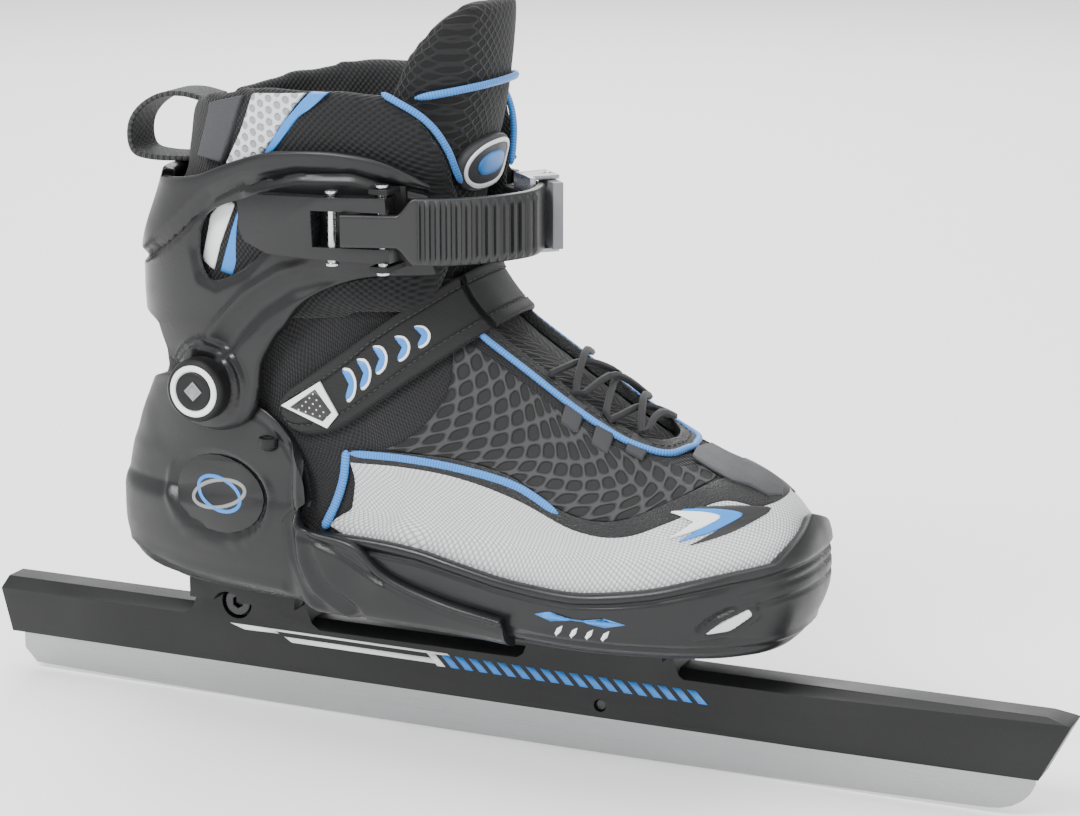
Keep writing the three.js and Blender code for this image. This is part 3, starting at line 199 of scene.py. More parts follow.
# ------------------------------------------------------------------ the boot's form
class BootForm:
    """The surface that the boot's shells, textile and straps follow.

    A section t runs from a heel-side point to a toe-side point of the side profile. At angle a
    about the section, with c = cos a and s = sin a, a share u = (1 - sgn(c)|c|^(2/p)) / 2 of the
    way along it has the lateral place -sgn(s)|s|^(2/p) times the half-width there. Angle 0 is the
    back of the boot, a quarter turn its right side and a half turn its front.
    """

    REAR = np.array([
        (14, 3), (5, 7), (0.5, 15), (0, 30), (0.5, 35), (1.5, 40), (2.5, 44), (4.5, 49), (6.5, 55),
        (9.5, 62), (13, 70), (16, 80.5), (17.5, 91), (17, 105), (18, 119), (24.5, 136),
        (30.5, 154), (36, 173), (39, 190), (41, 207), (42, 224)], float)
    FRONT = np.array([
        (0.937, 0), (0.975, 4), (1, 17), (0.998, 33), (0.986, 41), (0.958, 48), (0.923, 53),
        (0.87, 57.5), (0.81, 64), (0.737, 74.5), (0.666, 86), (0.595, 97.5), (0.543, 108.5),
        (0.524, 121.5), (0.532, 138.5), (0.548, 156.5), (0.563, 173.5), (0.571, 191.5),
        (0.575, 208), (0.577, 225), (0.578, 242)], float)
    HALF = np.array([
        (24, 25, 33), (33, 33, 42), (37.5, 37.5, 47.5), (38.5, 38, 46.5), (38.5, 38, 45.5),
        (38, 38, 43.5), (37.5, 38, 41.5), (37, 38, 40), (36.5, 37.5, 38), (36, 37, 36.5),
        (35.5, 36.5, 35), (35, 36, 33.5), (34.5, 35.5, 33.5), (34.5, 36, 35), (35, 36.5, 36),
        (36, 37.5, 36.5), (37, 38.5, 36.5), (38, 40, 37), (38, 40, 37), (38, 39, 36),
        (37, 38, 34)], float)
    POWER = np.array([2.7] * 4 + [2.35] * 8 + [2.6] * 9)

    def __init__(self, sizes: Layout) -> None:
        """Places the listed stations at the boot's heel, floor and length."""
        self.rear = self.REAR + (sizes.heel_x, sizes.floor_z)
        self.front = np.stack([sizes.heel_x + self.FRONT[:, 0] * sizes.foot_length,
                               sizes.floor_z + self.FRONT[:, 1]], 1)
        self.rear_out = self._outward(self.rear, -1)
        self.front_out = self._outward(self.front, 1)
        self.top = len(self.rear) - 1

    @staticmethod
    def _outward(points: Array, side: int) -> Array:
        """Unit normals of a side profile, from the step between each point's neighbours."""
        ahead = np.vstack([points[1:], points[-1:]])
        behind = np.vstack([points[:1], points[:-1]])
        step = ahead - behind
        step /= np.linalg.norm(step, axis=1)[:, None]
        out = np.stack([side * step[:, 1], -side * step[:, 0]], 1)
        out[0] = (side * 0.5, -1)
        return out

    def _ends(self, t: Array, grow: Array) -> tuple[Array, Array]:
        """Heel-side and toe-side ends of sections t, grown outwards."""
        grow = np.asarray(grow, float)[..., None]
        return (spline(self.rear, t) + spline(self.rear_out, t) * grow,
                spline(self.front, t) + spline(self.front_out, t) * grow)

    def _half(self, t: Array, u: Array) -> Array:
        """Half-width at share u of sections t: cosine blends between three stations."""
        a, b, c = np.moveaxis(spline(self.HALF, t), -1, 0)
        f = np.clip((u - 0.2) / 0.6, 0, 1)
        low = a + (b - a) * (1 - np.cos(2 * f * math.pi)) / 2
        high = b + (c - b) * (1 - np.cos((2 * f - 1) * math.pi)) / 2
        return np.where(f < 0.5, low, high)

    def _power(self, t: Array) -> Array:
        """Squareness of sections t."""
        return np.interp(t, np.arange(len(self.POWER)), self.POWER)

    def point(self, t: Array, a: Array, grow: Array = 0.0) -> Array:
        """Points of the form grown outwards.

        Args:
            t: Sections.
            a: Angles about them, in radians.
            grow: Distance outside the form.

        Returns:
            Coordinates in millimetres, in a last axis of three.
        """
        t, a, grow = np.broadcast_arrays(np.asarray(t, float), np.asarray(a, float),
                                         np.asarray(grow, float))
        rear, front = self._ends(t, grow)
        p = self._power(t)
        c, s = np.cos(a), np.sin(a)
        u = 0.5 - 0.5 * np.sign(c) * np.abs(c) ** (2 / p)
        reach = np.sign(s) * np.abs(s) ** (2 / p)
        half = self._half(t, u) + grow * (0.5 + 0.5 * np.clip(t, 0, 1))
        place = rear + (front - rear) * u[..., None]
        return np.stack([place[..., 0], -reach * half, place[..., 1]], -1)

    def side(self, points: Sequence, grow: float = 0.0, left: bool = False) -> Array:
        """Form coordinates (t, a) of points given in the side view.

        Args:
            points: Rows of (x, z) in millimetres.
            grow: Distance outside the form.
            left: Whether the points lie on the left side.

        Returns:
            Rows of (t, a), with t found by halving where the section passes through the point.
        """
        x, z = np.asarray(points, float).T
        low, high = np.zeros(len(x)), np.full(len(x), float(self.top))
        for _ in range(40):
            t = (low + high) / 2
            rear, front = self._ends(t, grow)
            run = front - rear
            above = run[:, 0] * (z - rear[:, 1]) - run[:, 1] * (x - rear[:, 0]) > 0
            low, high = np.where(above, t, low), np.where(above, high, t)
        u = ((x - rear[:, 0]) * run[:, 0] + (z - rear[:, 1]) * run[:, 1]) / (run**2).sum(1)
        c = 1 - 2 * np.clip(u, 0, 1)
        a = np.arccos(np.sign(c) * np.abs(c) ** (self._power(t) / 2))
        return np.stack([t, 2 * math.pi - a if left else a], 1)

    def above(self, points: Sequence, grow: float = 0.0) -> Array:
        """Form coordinates (t, a) of points given from above, as rows of (x, y)."""
        x, y = np.asarray(points, float).T

        def turn(t: Array) -> Array:
            """Angle of sections t at which the lateral place is y."""
            low, high = np.zeros(len(x)), np.full(len(x), math.pi / 2)
            for _ in range(30):
                d = (low + high) / 2
                near = self.point(t, math.pi + d, grow)[:, 1] < np.abs(y)
                low, high = np.where(near, d, low), np.where(near, high, d)
            return math.pi + np.sign(y) * d

        low, high = np.full(len(x), 2.0), np.full(len(x), 12.6)
        for _ in range(30):
            t = (low + high) / 2
            ahead = self.point(t, turn(t), grow)[:, 0] > x
            low, high = np.where(ahead, t, low), np.where(ahead, high, t)
        return np.stack([t, turn(t)], 1)

    def normal(self, t: Array, a: Array, grow: Array = 0.0) -> Array:
        """Unit outward normals, from the cross product of steps along t and a."""
        e = 1e-3
        along = self.point(t + e, a, grow) - self.point(t - e, a, grow)
        around = self.point(t, a + e, grow) - self.point(t, a - e, grow)
        out = np.cross(along, around)
        size = np.linalg.norm(out, axis=-1, keepdims=True)
        return out / np.maximum(size, 1e-12)


FORM = BootForm(SIZES)


# ------------------------------------------------------------------ meshes
def grid_faces(rows: int, columns: int, wrap_rows: bool = False, wrap_columns: bool = False) -> Array:
    """Quads of a grid of points numbered row by row, closed on itself where asked."""
    r = np.arange(rows if wrap_rows else rows - 1)[:, None]
    c = np.arange(columns if wrap_columns else columns - 1)[None, :]
    r1, c1 = (r + 1) % rows, (c + 1) % columns
    quads = np.stack([r * columns + c, r * columns + c1, r1 * columns + c1, r1 * columns + c], -1)
    return quads.reshape(-1, 4)


def tube_faces(rings: int, sides: int) -> list:
    """Faces of a tube closed at two poles.

    Args:
        rings: Rings of points, numbered ring by ring.
        sides: Points in each ring.

    Returns:
        Quads between the rings, and triangles to the poles, which are numbered after the rings.
    """
    faces = grid_faces(rings, sides, wrap_columns=True).tolist()
    k, last = np.arange(sides), (rings - 1) * sides
    first_pole, last_pole = rings * sides, rings * sides + 1
    ahead = (k + 1) % sides
    faces += np.stack([np.full(sides, first_pole), ahead, k], 1).tolist()
    faces += np.stack([np.full(sides, last_pole), last + k, last + ahead], 1).tolist()
    return faces


def signed_volume(verts: Array, faces: Sequence) -> float:
    """Six times the volume inside closed faces, from triangle fans about the mesh's middle."""
    total = 0.0
    middle = verts.mean(0)
    for size in {len(f) for f in faces}:
        ids = np.array([f for f in faces if len(f) == size])
        p = verts[ids] - middle
        for k in range(1, size - 1):
            total += np.einsum("ij,ij->", p[:, 0], np.cross(p[:, k], p[:, k + 1]))
    return total


def make_mesh(name: str, verts: Array, faces: Sequence, material: bpy.types.Material,
              uv: Optional[Array] = None, smooth: bool = True) -> bpy.types.Object:
    """Object made from arrays, with its faces turned outwards.

    Args:
        name: Piece name.
        verts: Rows of millimetres.
        faces: Rows or lists of vertex numbers of a closed mesh.
        material: Finish.
        uv: One row for each vertex, in millimetres, where the finish follows the surface.
        smooth: Smooth shading.

    Returns:
        The new object, at the origin.
    """
    faces = [list(map(int, f)) for f in faces]
    if signed_volume(verts, faces) < 0:
        faces = [f[::-1] for f in faces]
    mesh = bpy.data.meshes.new(name)
    mesh.from_pydata((verts * MM).tolist(), [], faces)
    if uv is not None:
        layer = mesh.uv_layers.new(name="cloth")
        ids = np.zeros(len(mesh.loops), np.int32)
        mesh.loops.foreach_get("vertex_index", ids)
        layer.data.foreach_set("uv", (uv[ids] * MM * 100).astype(np.float32).ravel())
    mesh.polygons.foreach_set("use_smooth", [smooth] * len(mesh.polygons))
    mesh.materials.append(material)
    obj = bpy.data.objects.new(name, mesh)
    bpy.context.scene.collection.objects.link(obj)
    mesh.update()
    return obj


def join(name: str, objects: Sequence[bpy.types.Object]) -> bpy.types.Object:
    """One object from several, with their materials kept."""
    objects = list(objects)
    merged = bmesh.new()
    materials: list = []
    for obj in objects:
        slots = []
        for m in obj.data.materials:
            if m not in materials:
                materials.append(m)
            slots.append(materials.index(m))
        start = len(merged.faces)
        merged.from_mesh(obj.data)
        merged.faces.ensure_lookup_table()
        for f in merged.faces[start:]:
            f.material_index = slots[f.material_index] if slots else 0
    mesh = bpy.data.meshes.new(name)
    merged.to_mesh(mesh)
    merged.free()
    for m in materials:
        mesh.materials.append(m)
    for obj in objects:
        old = obj.data
        bpy.data.objects.remove(obj)
        if old.users == 0:
            bpy.data.meshes.remove(old)
    made = bpy.data.objects.new(name, mesh)
    bpy.context.scene.collection.objects.link(made)
    return made


def cut(obj: bpy.types.Object, cutter: bpy.types.Object) -> bpy.types.Object:
    """Takes the cutter's solid out of obj and removes the cutter."""
    modifier = obj.modifiers.new("cut", "BOOLEAN")
    modifier.operation, modifier.object, modifier.solver = "DIFFERENCE", cutter, "EXACT"
    apply_modifiers(obj)
    bpy.data.objects.remove(cutter)
    return obj


def apply_modifiers(obj: bpy.types.Object) -> None:
    """Makes the evaluated mesh the object's own."""
    graph = bpy.context.evaluated_depsgraph_get()
    mesh = bpy.data.meshes.new_from_object(obj.evaluated_get(graph), depsgraph=graph)
    obj.modifiers.clear()
    obj.data = mesh


def place(obj: bpy.types.Object, body: str, slot: str, *replaced: str) -> bpy.types.Object:
    """Puts a piece on its body and hides the CAD nodes that it stands for."""
    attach(obj, body)
    if replaced:
        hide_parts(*replaced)
    log.info("%-26s %-10s %7d faces", obj.name, body, len(obj.data.polygons))
    return obj


def wall_profile(inner: float, outer: float, count: int = 24, round_off: float = 1.2,
                 bunch: float = 0.0) -> Array:
    """Closed cross-section of a wall between two distances from the form.

    Each row holds a share of the way across, a distance added across in millimetres, a grow and
    how much relief it takes. Edges are quarter circles of radius round_off, limited by the wall.

    Args:
        inner: Grow of the inner face.
        outer: Grow of the outer face.
        count: Points on each face.
        round_off: Edge radius.
        bunch: 0 spaces the points evenly and 1 gathers them at both edges.

    Returns:
        Rows that are symmetric about the wall's middle, so that ends can be bridged.
    """
    r = min(round_off, (outer - inner) * 0.49)
    f = np.linspace(0, 1, count)
    f = (1 - bunch) * f + bunch * (1 - np.cos(f * math.pi)) / 2
    inset = r * (1 - 2 * f)
    face = np.stack([f, inset, np.full(count, outer), np.ones(count)], 1)
    q = np.radians((25, 50, 75))
    top_edge = np.stack([np.ones(3), r * np.sin(q) - r, outer - r + r * np.cos(q), np.ones(3)], 1)
    low_edge = top_edge[::-1] * (0, -1, 1, 1)
    outer_half = np.vstack([low_edge, face, top_edge])
    inner_half = outer_half[::-1].copy()
    inner_half[:, 2] = inner + outer - inner_half[:, 2]
    inner_half[:, 3] = 0
    return np.vstack([outer_half, inner_half])


Relief = Callable[[Array, Array, Array], Array]


def band(name: str, low: Array, high: Array, profile: Array, material: bpy.types.Material,
         relief: Optional[Relief] = None, shift: Optional[Relief] = None,
         closed: bool = False) -> bpy.types.Object:
    """Wall on the boot's form between two curves.

    Column j goes from low[j] to high[j] in form coordinates, through the profile's shares, with
    the profile's distances turned into shares by the column's length.

    Args:
        name: Piece name.
        low: Rows of (t, a).
        high: As many rows of (t, a).
        profile: Rows from wall_profile.
        material: Finish.
        relief: Height added to the outer face as a function of side-view x, z and lateral y.
        shift: Distance added to both faces in the same way.
        closed: Whether the last column meets the first.

    Returns:
        The new object, with texture coordinates in millimetres along and across.
    """
    low, high = np.asarray(low, float), np.asarray(high, float)
    middle = profile[len(profile) // 4, 2]
    length = np.linalg.norm(FORM.point(*high.T, middle) - FORM.point(*low.T, middle), axis=1)
    share = profile[None, :, 0] + profile[None, :, 1] / np.maximum(length, 0.5)[:, None]
    ta = low[:, None, :] + (high - low)[:, None, :] * share[..., None]
    grow = np.broadcast_to(profile[None, :, 2], share.shape)
    if relief or shift:
        x, y, z = np.moveaxis(FORM.point(ta[..., 0], ta[..., 1], grow), -1, 0)
        if relief:
            grow = grow + relief(x, z, y) * profile[None, :, 3]
        if shift:
            grow = grow + shift(x, z, y)
    verts = FORM.point(ta[..., 0], ta[..., 1], grow)
    n, m = verts.shape[:2]
    faces = grid_faces(n, m, wrap_rows=closed, wrap_columns=True).tolist()
    if not closed:
        k = np.arange(m // 2 - 1)
        for row in (0, n - 1):
            base = row * m
            quads = np.stack([base + k, base + k + 1, base + m - 2 - k, base + m - 1 - k], 1)
            faces += (quads if row == 0 else quads[:, ::-1]).tolist()
    along = arc(verts[:, m // 4])
    across = share * length[:, None]
    uv = np.stack([np.broadcast_to(along[:, None], share.shape), across], -1)
    return make_mesh(name, verts.reshape(-1, 3), faces, material, uv.reshape(-1, 2))


def patch(name: str, outline: Array, grow: float, rise: float, material: bpy.types.Material,
          rings: int = 14, edge: float = 0.8, sink: float = 0.5, dish: float = 0.0,
          relief: Optional[Relief] = None) -> bpy.types.Object:
    """Thin closed panel on the form inside a star-shaped outline.

    Ring k of the outer face lies a share of the way from the outline's middle to the outline,
    raised by the panel's rise and lowered along a quarter circle at the edge. The inner face is
    the same rings sunk below the surface.

    Args:
        name: Piece name.
        outline: Rows of (t, a), closed.
        grow: Distance of the surface below the panel from the form.
        rise: Height of the panel over it.
        material: Finish.
        rings: Rings from the middle to the outline.
        edge: Width of the rounded edge in millimetres.
        sink: Depth of the hidden inner face under the surface.
        dish: Depth by which the middle is hollowed.
        relief: Extra height as a function of side-view x, z and y.

    Returns:
        The new object.
    """
    outline = np.asarray(outline, float)
    middle = outline.mean(0)
    spread = FORM.point(*outline.T, grow)
    reach = np.linalg.norm(spread - FORM.point(*middle, grow), axis=1)
    rho = np.sin(np.linspace(0, 1, rings + 1)[1:] * math.pi / 2)
    ta = middle + (outline - middle)[None] * rho[:, None, None]
    inset = np.clip(1 - (1 - rho)[:, None] * reach[None] / edge, 0, 1)
    height = grow + rise * np.sqrt(np.maximum(1 - inset**2, 0)) - dish * (1 - rho[:, None] ** 2)
    if relief:
        x, y, z = np.moveaxis(FORM.point(ta[..., 0], ta[..., 1], grow), -1, 0)
        height = height + relief(x, z, y) * (inset < 1)
    outer = FORM.point(ta[..., 0], ta[..., 1], height)
    inner = FORM.point(ta[::-1, :, 0], ta[::-1, :, 1], grow - sink)
    poles = FORM.point(np.full(2, middle[0]), np.full(2, middle[1]),
                       np.array([grow + rise - dish, grow - sink]))
    verts = np.vstack([outer.reshape(-1, 3), inner.reshape(-1, 3), poles])
    faces = tube_faces(2 * rings, len(outline))
    u_axis = np.array([1.0, 0, 0])
    v_axis = np.cross(FORM.normal(*middle, grow), u_axis)
    uv_outer = np.stack([(outer - spread.mean(0)) @ u_axis, (outer - spread.mean(0)) @ v_axis], -1)
    uv_inner = uv_outer[::-1]
    uv = np.vstack([uv_outer.reshape(-1, 2), uv_inner.reshape(-1, 2), np.zeros((2, 2))])
    return make_mesh(name, verts, faces, material, uv)


def circle_profile(radius: float, sides: int = 10, flat: float = 1.0) -> Array:
    """Closed section of (across, out) points on an ellipse whose height is flat times its width."""
    w = np.arange(sides) * 2 * math.pi / sides
    return np.stack([radius * np.cos(w), radius * flat * np.sin(w)], 1)


def strap_profile(half: float, thick: float, round_off: float = 0.8, crown: float = 0.0,
                  lip: float = 0.0, count: int = 12) -> Array:
    """Closed section of a strap: rounded edges, a crowned face and, with lip, a raised border."""
    w = np.linspace(-1, 1, count)
    q = np.linspace(math.pi, math.pi / 2, 4)[:-1]
    edge = np.stack([-half + round_off + round_off * np.cos(q), thick - round_off
                     + round_off * np.sin(q)], 1)
    top = np.stack([w * (half - round_off), thick + crown * (1 - w**2)
                    + lip * smooth_step(np.abs(w), 0.72, 0.86)], 1)
    over = np.vstack([edge, top, edge[::-1] * (-1, 1)])
    under = np.stack([np.linspace(half, -half, count), np.zeros(count)], 1)
    return np.vstack([over, under])


def sweep(name: str, path: Array, out: Array, section: Array, material: bpy.types.Material,
          taper: Optional[Array] = None, closed: bool = False) -> bpy.types.Object:
    """Section carried along a path.

    A point of the section is the path's place plus its first value across and its second value
    along the outward direction, where across is the path's tangent crossed with outward.

    Args:
        name: Piece name.
        path: Rows of millimetres.
        out: Outward direction at each row.
        section: Rows of (across, out), or one such array for each row of the path.
        material: Finish.
        taper: Scale of the section at each row.
        closed: Whether the path returns to its start.

    Returns:
        The new object.
    """
    step = (np.roll(path, -1, 0) - np.roll(path, 1, 0)) if closed else np.gradient(path, axis=0)
    tangent = step / np.linalg.norm(step, axis=1)[:, None]
    out = out - (out * tangent).sum(1)[:, None] * tangent
    out = out / np.linalg.norm(out, axis=1)[:, None]
    across = np.cross(tangent, out)
    scale = np.ones(len(path)) if taper is None else taper
    section = np.broadcast_to(section, (len(path), *section.shape[-2:])) * scale[:, None, None]
    verts = path[:, None] + across[:, None] * section[..., :1] + out[:, None] * section[..., 1:]
    n, m = verts.shape[:2]
    faces = grid_faces(n, m, wrap_rows=closed, wrap_columns=True).tolist()
    if not closed:
        faces += [list(range(m))[::-1], [(n - 1) * m + k for k in range(m)]]
    run = arc(path)
    uv = np.stack([np.broadcast_to(run[:, None], (n, m)), section[..., 0]], -1)
    return make_mesh(name, verts.reshape(-1, 3), faces, material, uv.reshape(-1, 2))


def on_form(ta: Array, grow: float) -> tuple[Array, Array]:
    """Places and outward directions of form coordinates at a distance from the form."""
    return FORM.point(ta[:, 0], ta[:, 1], grow), FORM.normal(ta[:, 0], ta[:, 1], grow)


def piping(name: str, ta: Array, grow: float, radius: float, material: bpy.types.Material,
           flat: float = 1.0, closed: bool = False, ends: float = 0.25) -> bpy.types.Object:
    """Round cord sewn along a path on the form, thinner at its two ends."""
    path, out = on_form(ta, grow)
    f = np.linspace(0, 1, len(path))
    taper = None if closed else ends + (1 - ends) * np.sqrt(np.clip(np.minimum(f, 1 - f) * 18, 0, 1))
    return sweep(name, path, out, circle_profile(radius, 10, flat), material, taper, closed)


def stitches(name: str, ta: Array, grow: float, material: bpy.types.Material, pitch: float = 2.6,
             length: float = 1.7, radius: float = 0.26) -> bpy.types.Object:
    """Row of thread stitches along a path on the form.

    Each stitch is three rings of five points along its tangent, small at its ends, and the row is
    one mesh.

    Args:
        name: Piece name.
        ta: Rows of (t, a).
        grow: Distance of the cloth's face from the form.
        material: Thread finish.
        pitch: Distance between stitches.
        length: Length of one stitch.
        radius: Thread radius.

    Returns:
        The new object.
    """
    path, out = on_form(ta, grow)
    run = arc(path)
    at = np.arange(pitch / 2, run[-1] - length / 2, pitch)
    centre, n = pick(at, run, path), pick(at, run, out)
    tangent = pick(at + length / 2, run, path) - centre
    tangent /= np.linalg.norm(tangent, axis=1)[:, None]
    n -= (n * tangent).sum(1)[:, None] * tangent
    n /= np.linalg.norm(n, axis=1)[:, None]
    b = np.cross(tangent, n)
    w = np.arange(5) * 2 * math.pi / 5
    rings = []
    for along, size, lift in ((-0.5, 0.35, -0.3), (-0.2, 1, 0.1), (0.2, 1, 0.1), (0.5, 0.35, -0.3)):
        ring = centre[:, None] + tangent[:, None] * length * along
        ring = ring + b[:, None] * (radius * size * np.cos(w))[None, :, None]
        rings.append(ring + n[:, None] * (radius * (size * np.sin(w) + lift))[None, :, None])
    verts = np.stack(rings, 1).reshape(-1, 3)
    one = grid_faces(4, 5, wrap_columns=True)
    start = np.arange(len(at)) * 20
    faces = (one[None] + start[:, None, None]).reshape(-1, 4).tolist()
    for s in start:
        faces.append([int(s) + k for k in range(4, -1, -1)])
        faces.append([int(s) + 15 + k for k in range(5)])
    return make_mesh(name, verts, faces, material)


def lathe(name: str, profile: Sequence, centre: Array, axis: Array, material: bpy.types.Material,
          sides: int = 48) -> bpy.types.Object:
    """Profile of (radius, height) rows turned about an axis, closed at both poles.

    Args:
        name: Piece name.
        profile: Rows from one pole to the other, the first and last at radius 0.
        centre: Foot of the axis in millimetres.
        axis: Unit direction of height.
        material: Finish.
        sides: Points round the axis.

    Returns:
        The new object.
    """
    rows = np.asarray(profile, float)
    axis = np.asarray(axis, float)
    helper = np.array([0, 0, 1.0]) if abs(axis[2]) < 0.9 else np.array([1.0, 0, 0])
    e1 = np.cross(helper, axis)
    e1 /= np.linalg.norm(e1)
    e2 = np.cross(axis, e1)
    w = np.arange(sides) * 2 * math.pi / sides
    spokes = np.cos(w)[:, None] * e1 + np.sin(w)[:, None] * e2
    inner = rows[1:-1]
    verts = centre + inner[:, None, :1] * spokes[None] + inner[:, None, 1:] * axis
    poles = centre + rows[[0, -1], 1:] * axis
    verts = np.vstack([verts.reshape(-1, 3), poles])
    return make_mesh(name, verts, tube_faces(len(inner), sides), material)


def refined(node: str, material: bpy.types.Material, bevel: float, body: str, slot: str,
            segments: int = 3, angle: float = 28) -> bpy.types.Object:
    """Copy of a CAD node with its flats merged and its edges rounded, which stands for the node."""
    mesh = frame["nodes"][node].data.copy()
    work = bmesh.new()
    work.from_mesh(mesh)
    bmesh.ops.remove_doubles(work, verts=work.verts, dist=2e-5)
    bmesh.ops.dissolve_limit(work, angle_limit=math.radians(2), verts=work.verts, edges=work.edges)
    work.to_mesh(mesh)
    work.free()
    mesh.materials.clear()
    mesh.materials.append(material)
    obj = bpy.data.objects.new(node + "_body", mesh)
    bpy.context.scene.collection.objects.link(obj)
    edge = obj.modifiers.new("edges", "BEVEL")
    edge.width, edge.segments, edge.limit_method = bevel * MM, segments, "ANGLE"
    edge.angle_limit = math.radians(angle)
    apply_modifiers(obj)
    obj.data.polygons.foreach_set("use_smooth", [True] * len(obj.data.polygons))
    sharpen(obj, 40)
    return place(obj, body, slot, node)


def sharpen(obj: bpy.types.Object, angle: float) -> None:
    """Keeps edges sharper than an angle in degrees hard under smooth shading."""
    work = bmesh.new()
    work.from_mesh(obj.data)
    limit = math.radians(angle)
    for e in work.edges:
        e.smooth = not (len(e.link_faces) == 2 and e.calc_face_angle(0) > limit)
    work.to_mesh(obj.data)
    work.free()


# ------------------------------------------------------------------ finishes
class Coordinates(Enum):
    """What a finish's pattern follows."""

    OBJECT = "Object"
    CLOTH = "UV"


class Graph:
    """Short way of wiring shader nodes in one material."""

    def __init__(self, material: bpy.types.Material) -> None:
        """Empties the material's node tree and adds the surface shader and output."""
        material.use_nodes = True
        self.tree = material.node_tree
        self.tree.nodes.clear()
        self.shader = self.node("ShaderNodeBsdfPrincipled")
        output = self.node("ShaderNodeOutputMaterial")
        self.link(self.shader.outputs[0], output.inputs["Surface"])

    def node(self, kind: str, **settings: object) -> bpy.types.Node:
        """New node with its properties set."""
        made = self.tree.nodes.new(kind)
        for key, value in settings.items():
            setattr(made, key, value)
        return made

    def link(self, source: bpy.types.NodeSocket, target: bpy.types.NodeSocket) -> None:
        """Joins two sockets."""
        self.tree.links.new(source, target)

    def feed(self, socket: bpy.types.NodeSocket, value: object) -> None:
        """Links a socket to another one, or sets it to a number."""
        if isinstance(value, bpy.types.NodeSocket):
            self.link(value, socket)
        else:
            socket.default_value = value

    def math(self, operation: str, a: object, b: object = 0.0, c: object = 0.0,
             clamp: bool = False) -> bpy.types.NodeSocket:
        """One scalar operation."""
        made = self.node("ShaderNodeMath", operation=operation, use_clamp=clamp)
        for socket, value in zip(made.inputs, (a, b, c)):
            self.feed(socket, value)
        return made.outputs[0]

    def coordinates(self, source: Coordinates, scale: Sequence[float] = (1, 1, 1),
                    turn: float = 0.0) -> bpy.types.NodeSocket:
        """Millimetres along the object's axes or its cloth coordinates, scaled and turned."""
        where = self.node("ShaderNodeTexCoord")
        mapping = self.node("ShaderNodeMapping")
        per_mm = 1 / MM if source is Coordinates.OBJECT else 1 / (MM * 100)
        mapping.inputs["Scale"].default_value = [s * per_mm for s in scale]
        mapping.inputs["Rotation"].default_value = (0, 0, turn)
        self.link(where.outputs[source.value], mapping.inputs["Vector"])
        return mapping.outputs[0]

    def split(self, vector: bpy.types.NodeSocket) -> tuple:
        """The three components of a vector."""
        made = self.node("ShaderNodeSeparateXYZ")
        self.link(vector, made.inputs[0])
        return tuple(made.outputs)

    def noise(self, vector: bpy.types.NodeSocket, scale: float, detail: float = 3,
              rough: float = 0.55) -> bpy.types.NodeSocket:
        """Noise between about 0 and 1, with scale in cycles per millimetre."""
        made = self.node("ShaderNodeTexNoise")
        self.link(vector, made.inputs["Vector"])
        made.inputs["Scale"].default_value = scale
        made.inputs["Detail"].default_value = detail
        made.inputs["Roughness"].default_value = rough
        return made.outputs[0]

    def cells(self, vector: bpy.types.NodeSocket, scale: float,
              feature: str = "F1") -> bpy.types.NodeSocket:
        """Distance field of scattered cells, with scale in cells per millimetre."""
        made = self.node("ShaderNodeTexVoronoi", feature=feature)
        self.link(vector, made.inputs["Vector"])
        made.inputs["Scale"].default_value = scale
        return made.outputs[0]

    def ramp(self, value: object, low: float, high: float, from_low: float = 0.0,
             from_high: float = 1.0) -> bpy.types.NodeSocket:
        """Value mapped smoothly from one range to another."""
        made = self.node("ShaderNodeMapRange", interpolation_type="SMOOTHSTEP")
        for socket, v in zip(made.inputs, (value, from_low, from_high, low, high)):
            self.feed(socket, v)
        return made.outputs[0]

    def mix(self, share: object, a: Sequence[float], b: Sequence[float]) -> bpy.types.NodeSocket:
        """Blend of two colours, either of which may be a socket."""
        made = self.node("ShaderNodeMix", data_type="RGBA")
        self.feed(made.inputs[0], share)
        for socket, colour in ((made.inputs[6], a), (made.inputs[7], b)):
            if isinstance(colour, bpy.types.NodeSocket):
                self.link(colour, socket)
            else:
                socket.default_value = (*colour, 1)
        return made.outputs[2]

    def relief(self, height: bpy.types.NodeSocket, depth: float) -> None:
        """Bump of a height between 0 and 1, with depth in millimetres."""
        made = self.node("ShaderNodeBump")
        made.inputs["Strength"].default_value = 1.0
        made.inputs["Distance"].default_value = depth * MM
        self.link(height, made.inputs["Height"])
        self.link(made.outputs[0], self.shader.inputs["Normal"])


@dataclass(frozen=True)
class Finish:
    """Base of every finish: a colour, a roughness and how metallic it is."""

    name: str
    colour: tuple
    roughness: float = 0.5
    metallic: float = 0.0
    specular: float = 0.5
    sheen: float = 0.0
    coat: float = 0.0

    def make(self) -> bpy.types.Material:
        """Builds the material: the uniform sockets here and the pattern in dress."""
        material = bpy.data.materials.new(self.name)
        graph = Graph(material)
        shader = graph.shader
        shader.inputs["Base Color"].default_value = (*self.colour, 1)
        shader.inputs["Roughness"].default_value = self.roughness
        shader.inputs["Metallic"].default_value = self.metallic
        shader.inputs["Specular IOR Level"].default_value = self.specular
        shader.inputs["Sheen Weight"].default_value = self.sheen
        shader.inputs["Sheen Roughness"].default_value = 0.5
        shader.inputs["Coat Weight"].default_value = self.coat
        shader.inputs["Coat Roughness"].default_value = 0.25
        material.diffuse_color = (*self.colour, 1)
        self.dress(graph)
        return material

    def dress(self, graph: Graph) -> None:
        """Adds the pattern, which a finish of its own kind gives."""

    def tinted(self, factor: float) -> tuple:
        """The colour made lighter or darker."""
        return tuple(min(1.0, c * factor) for c in self.colour)


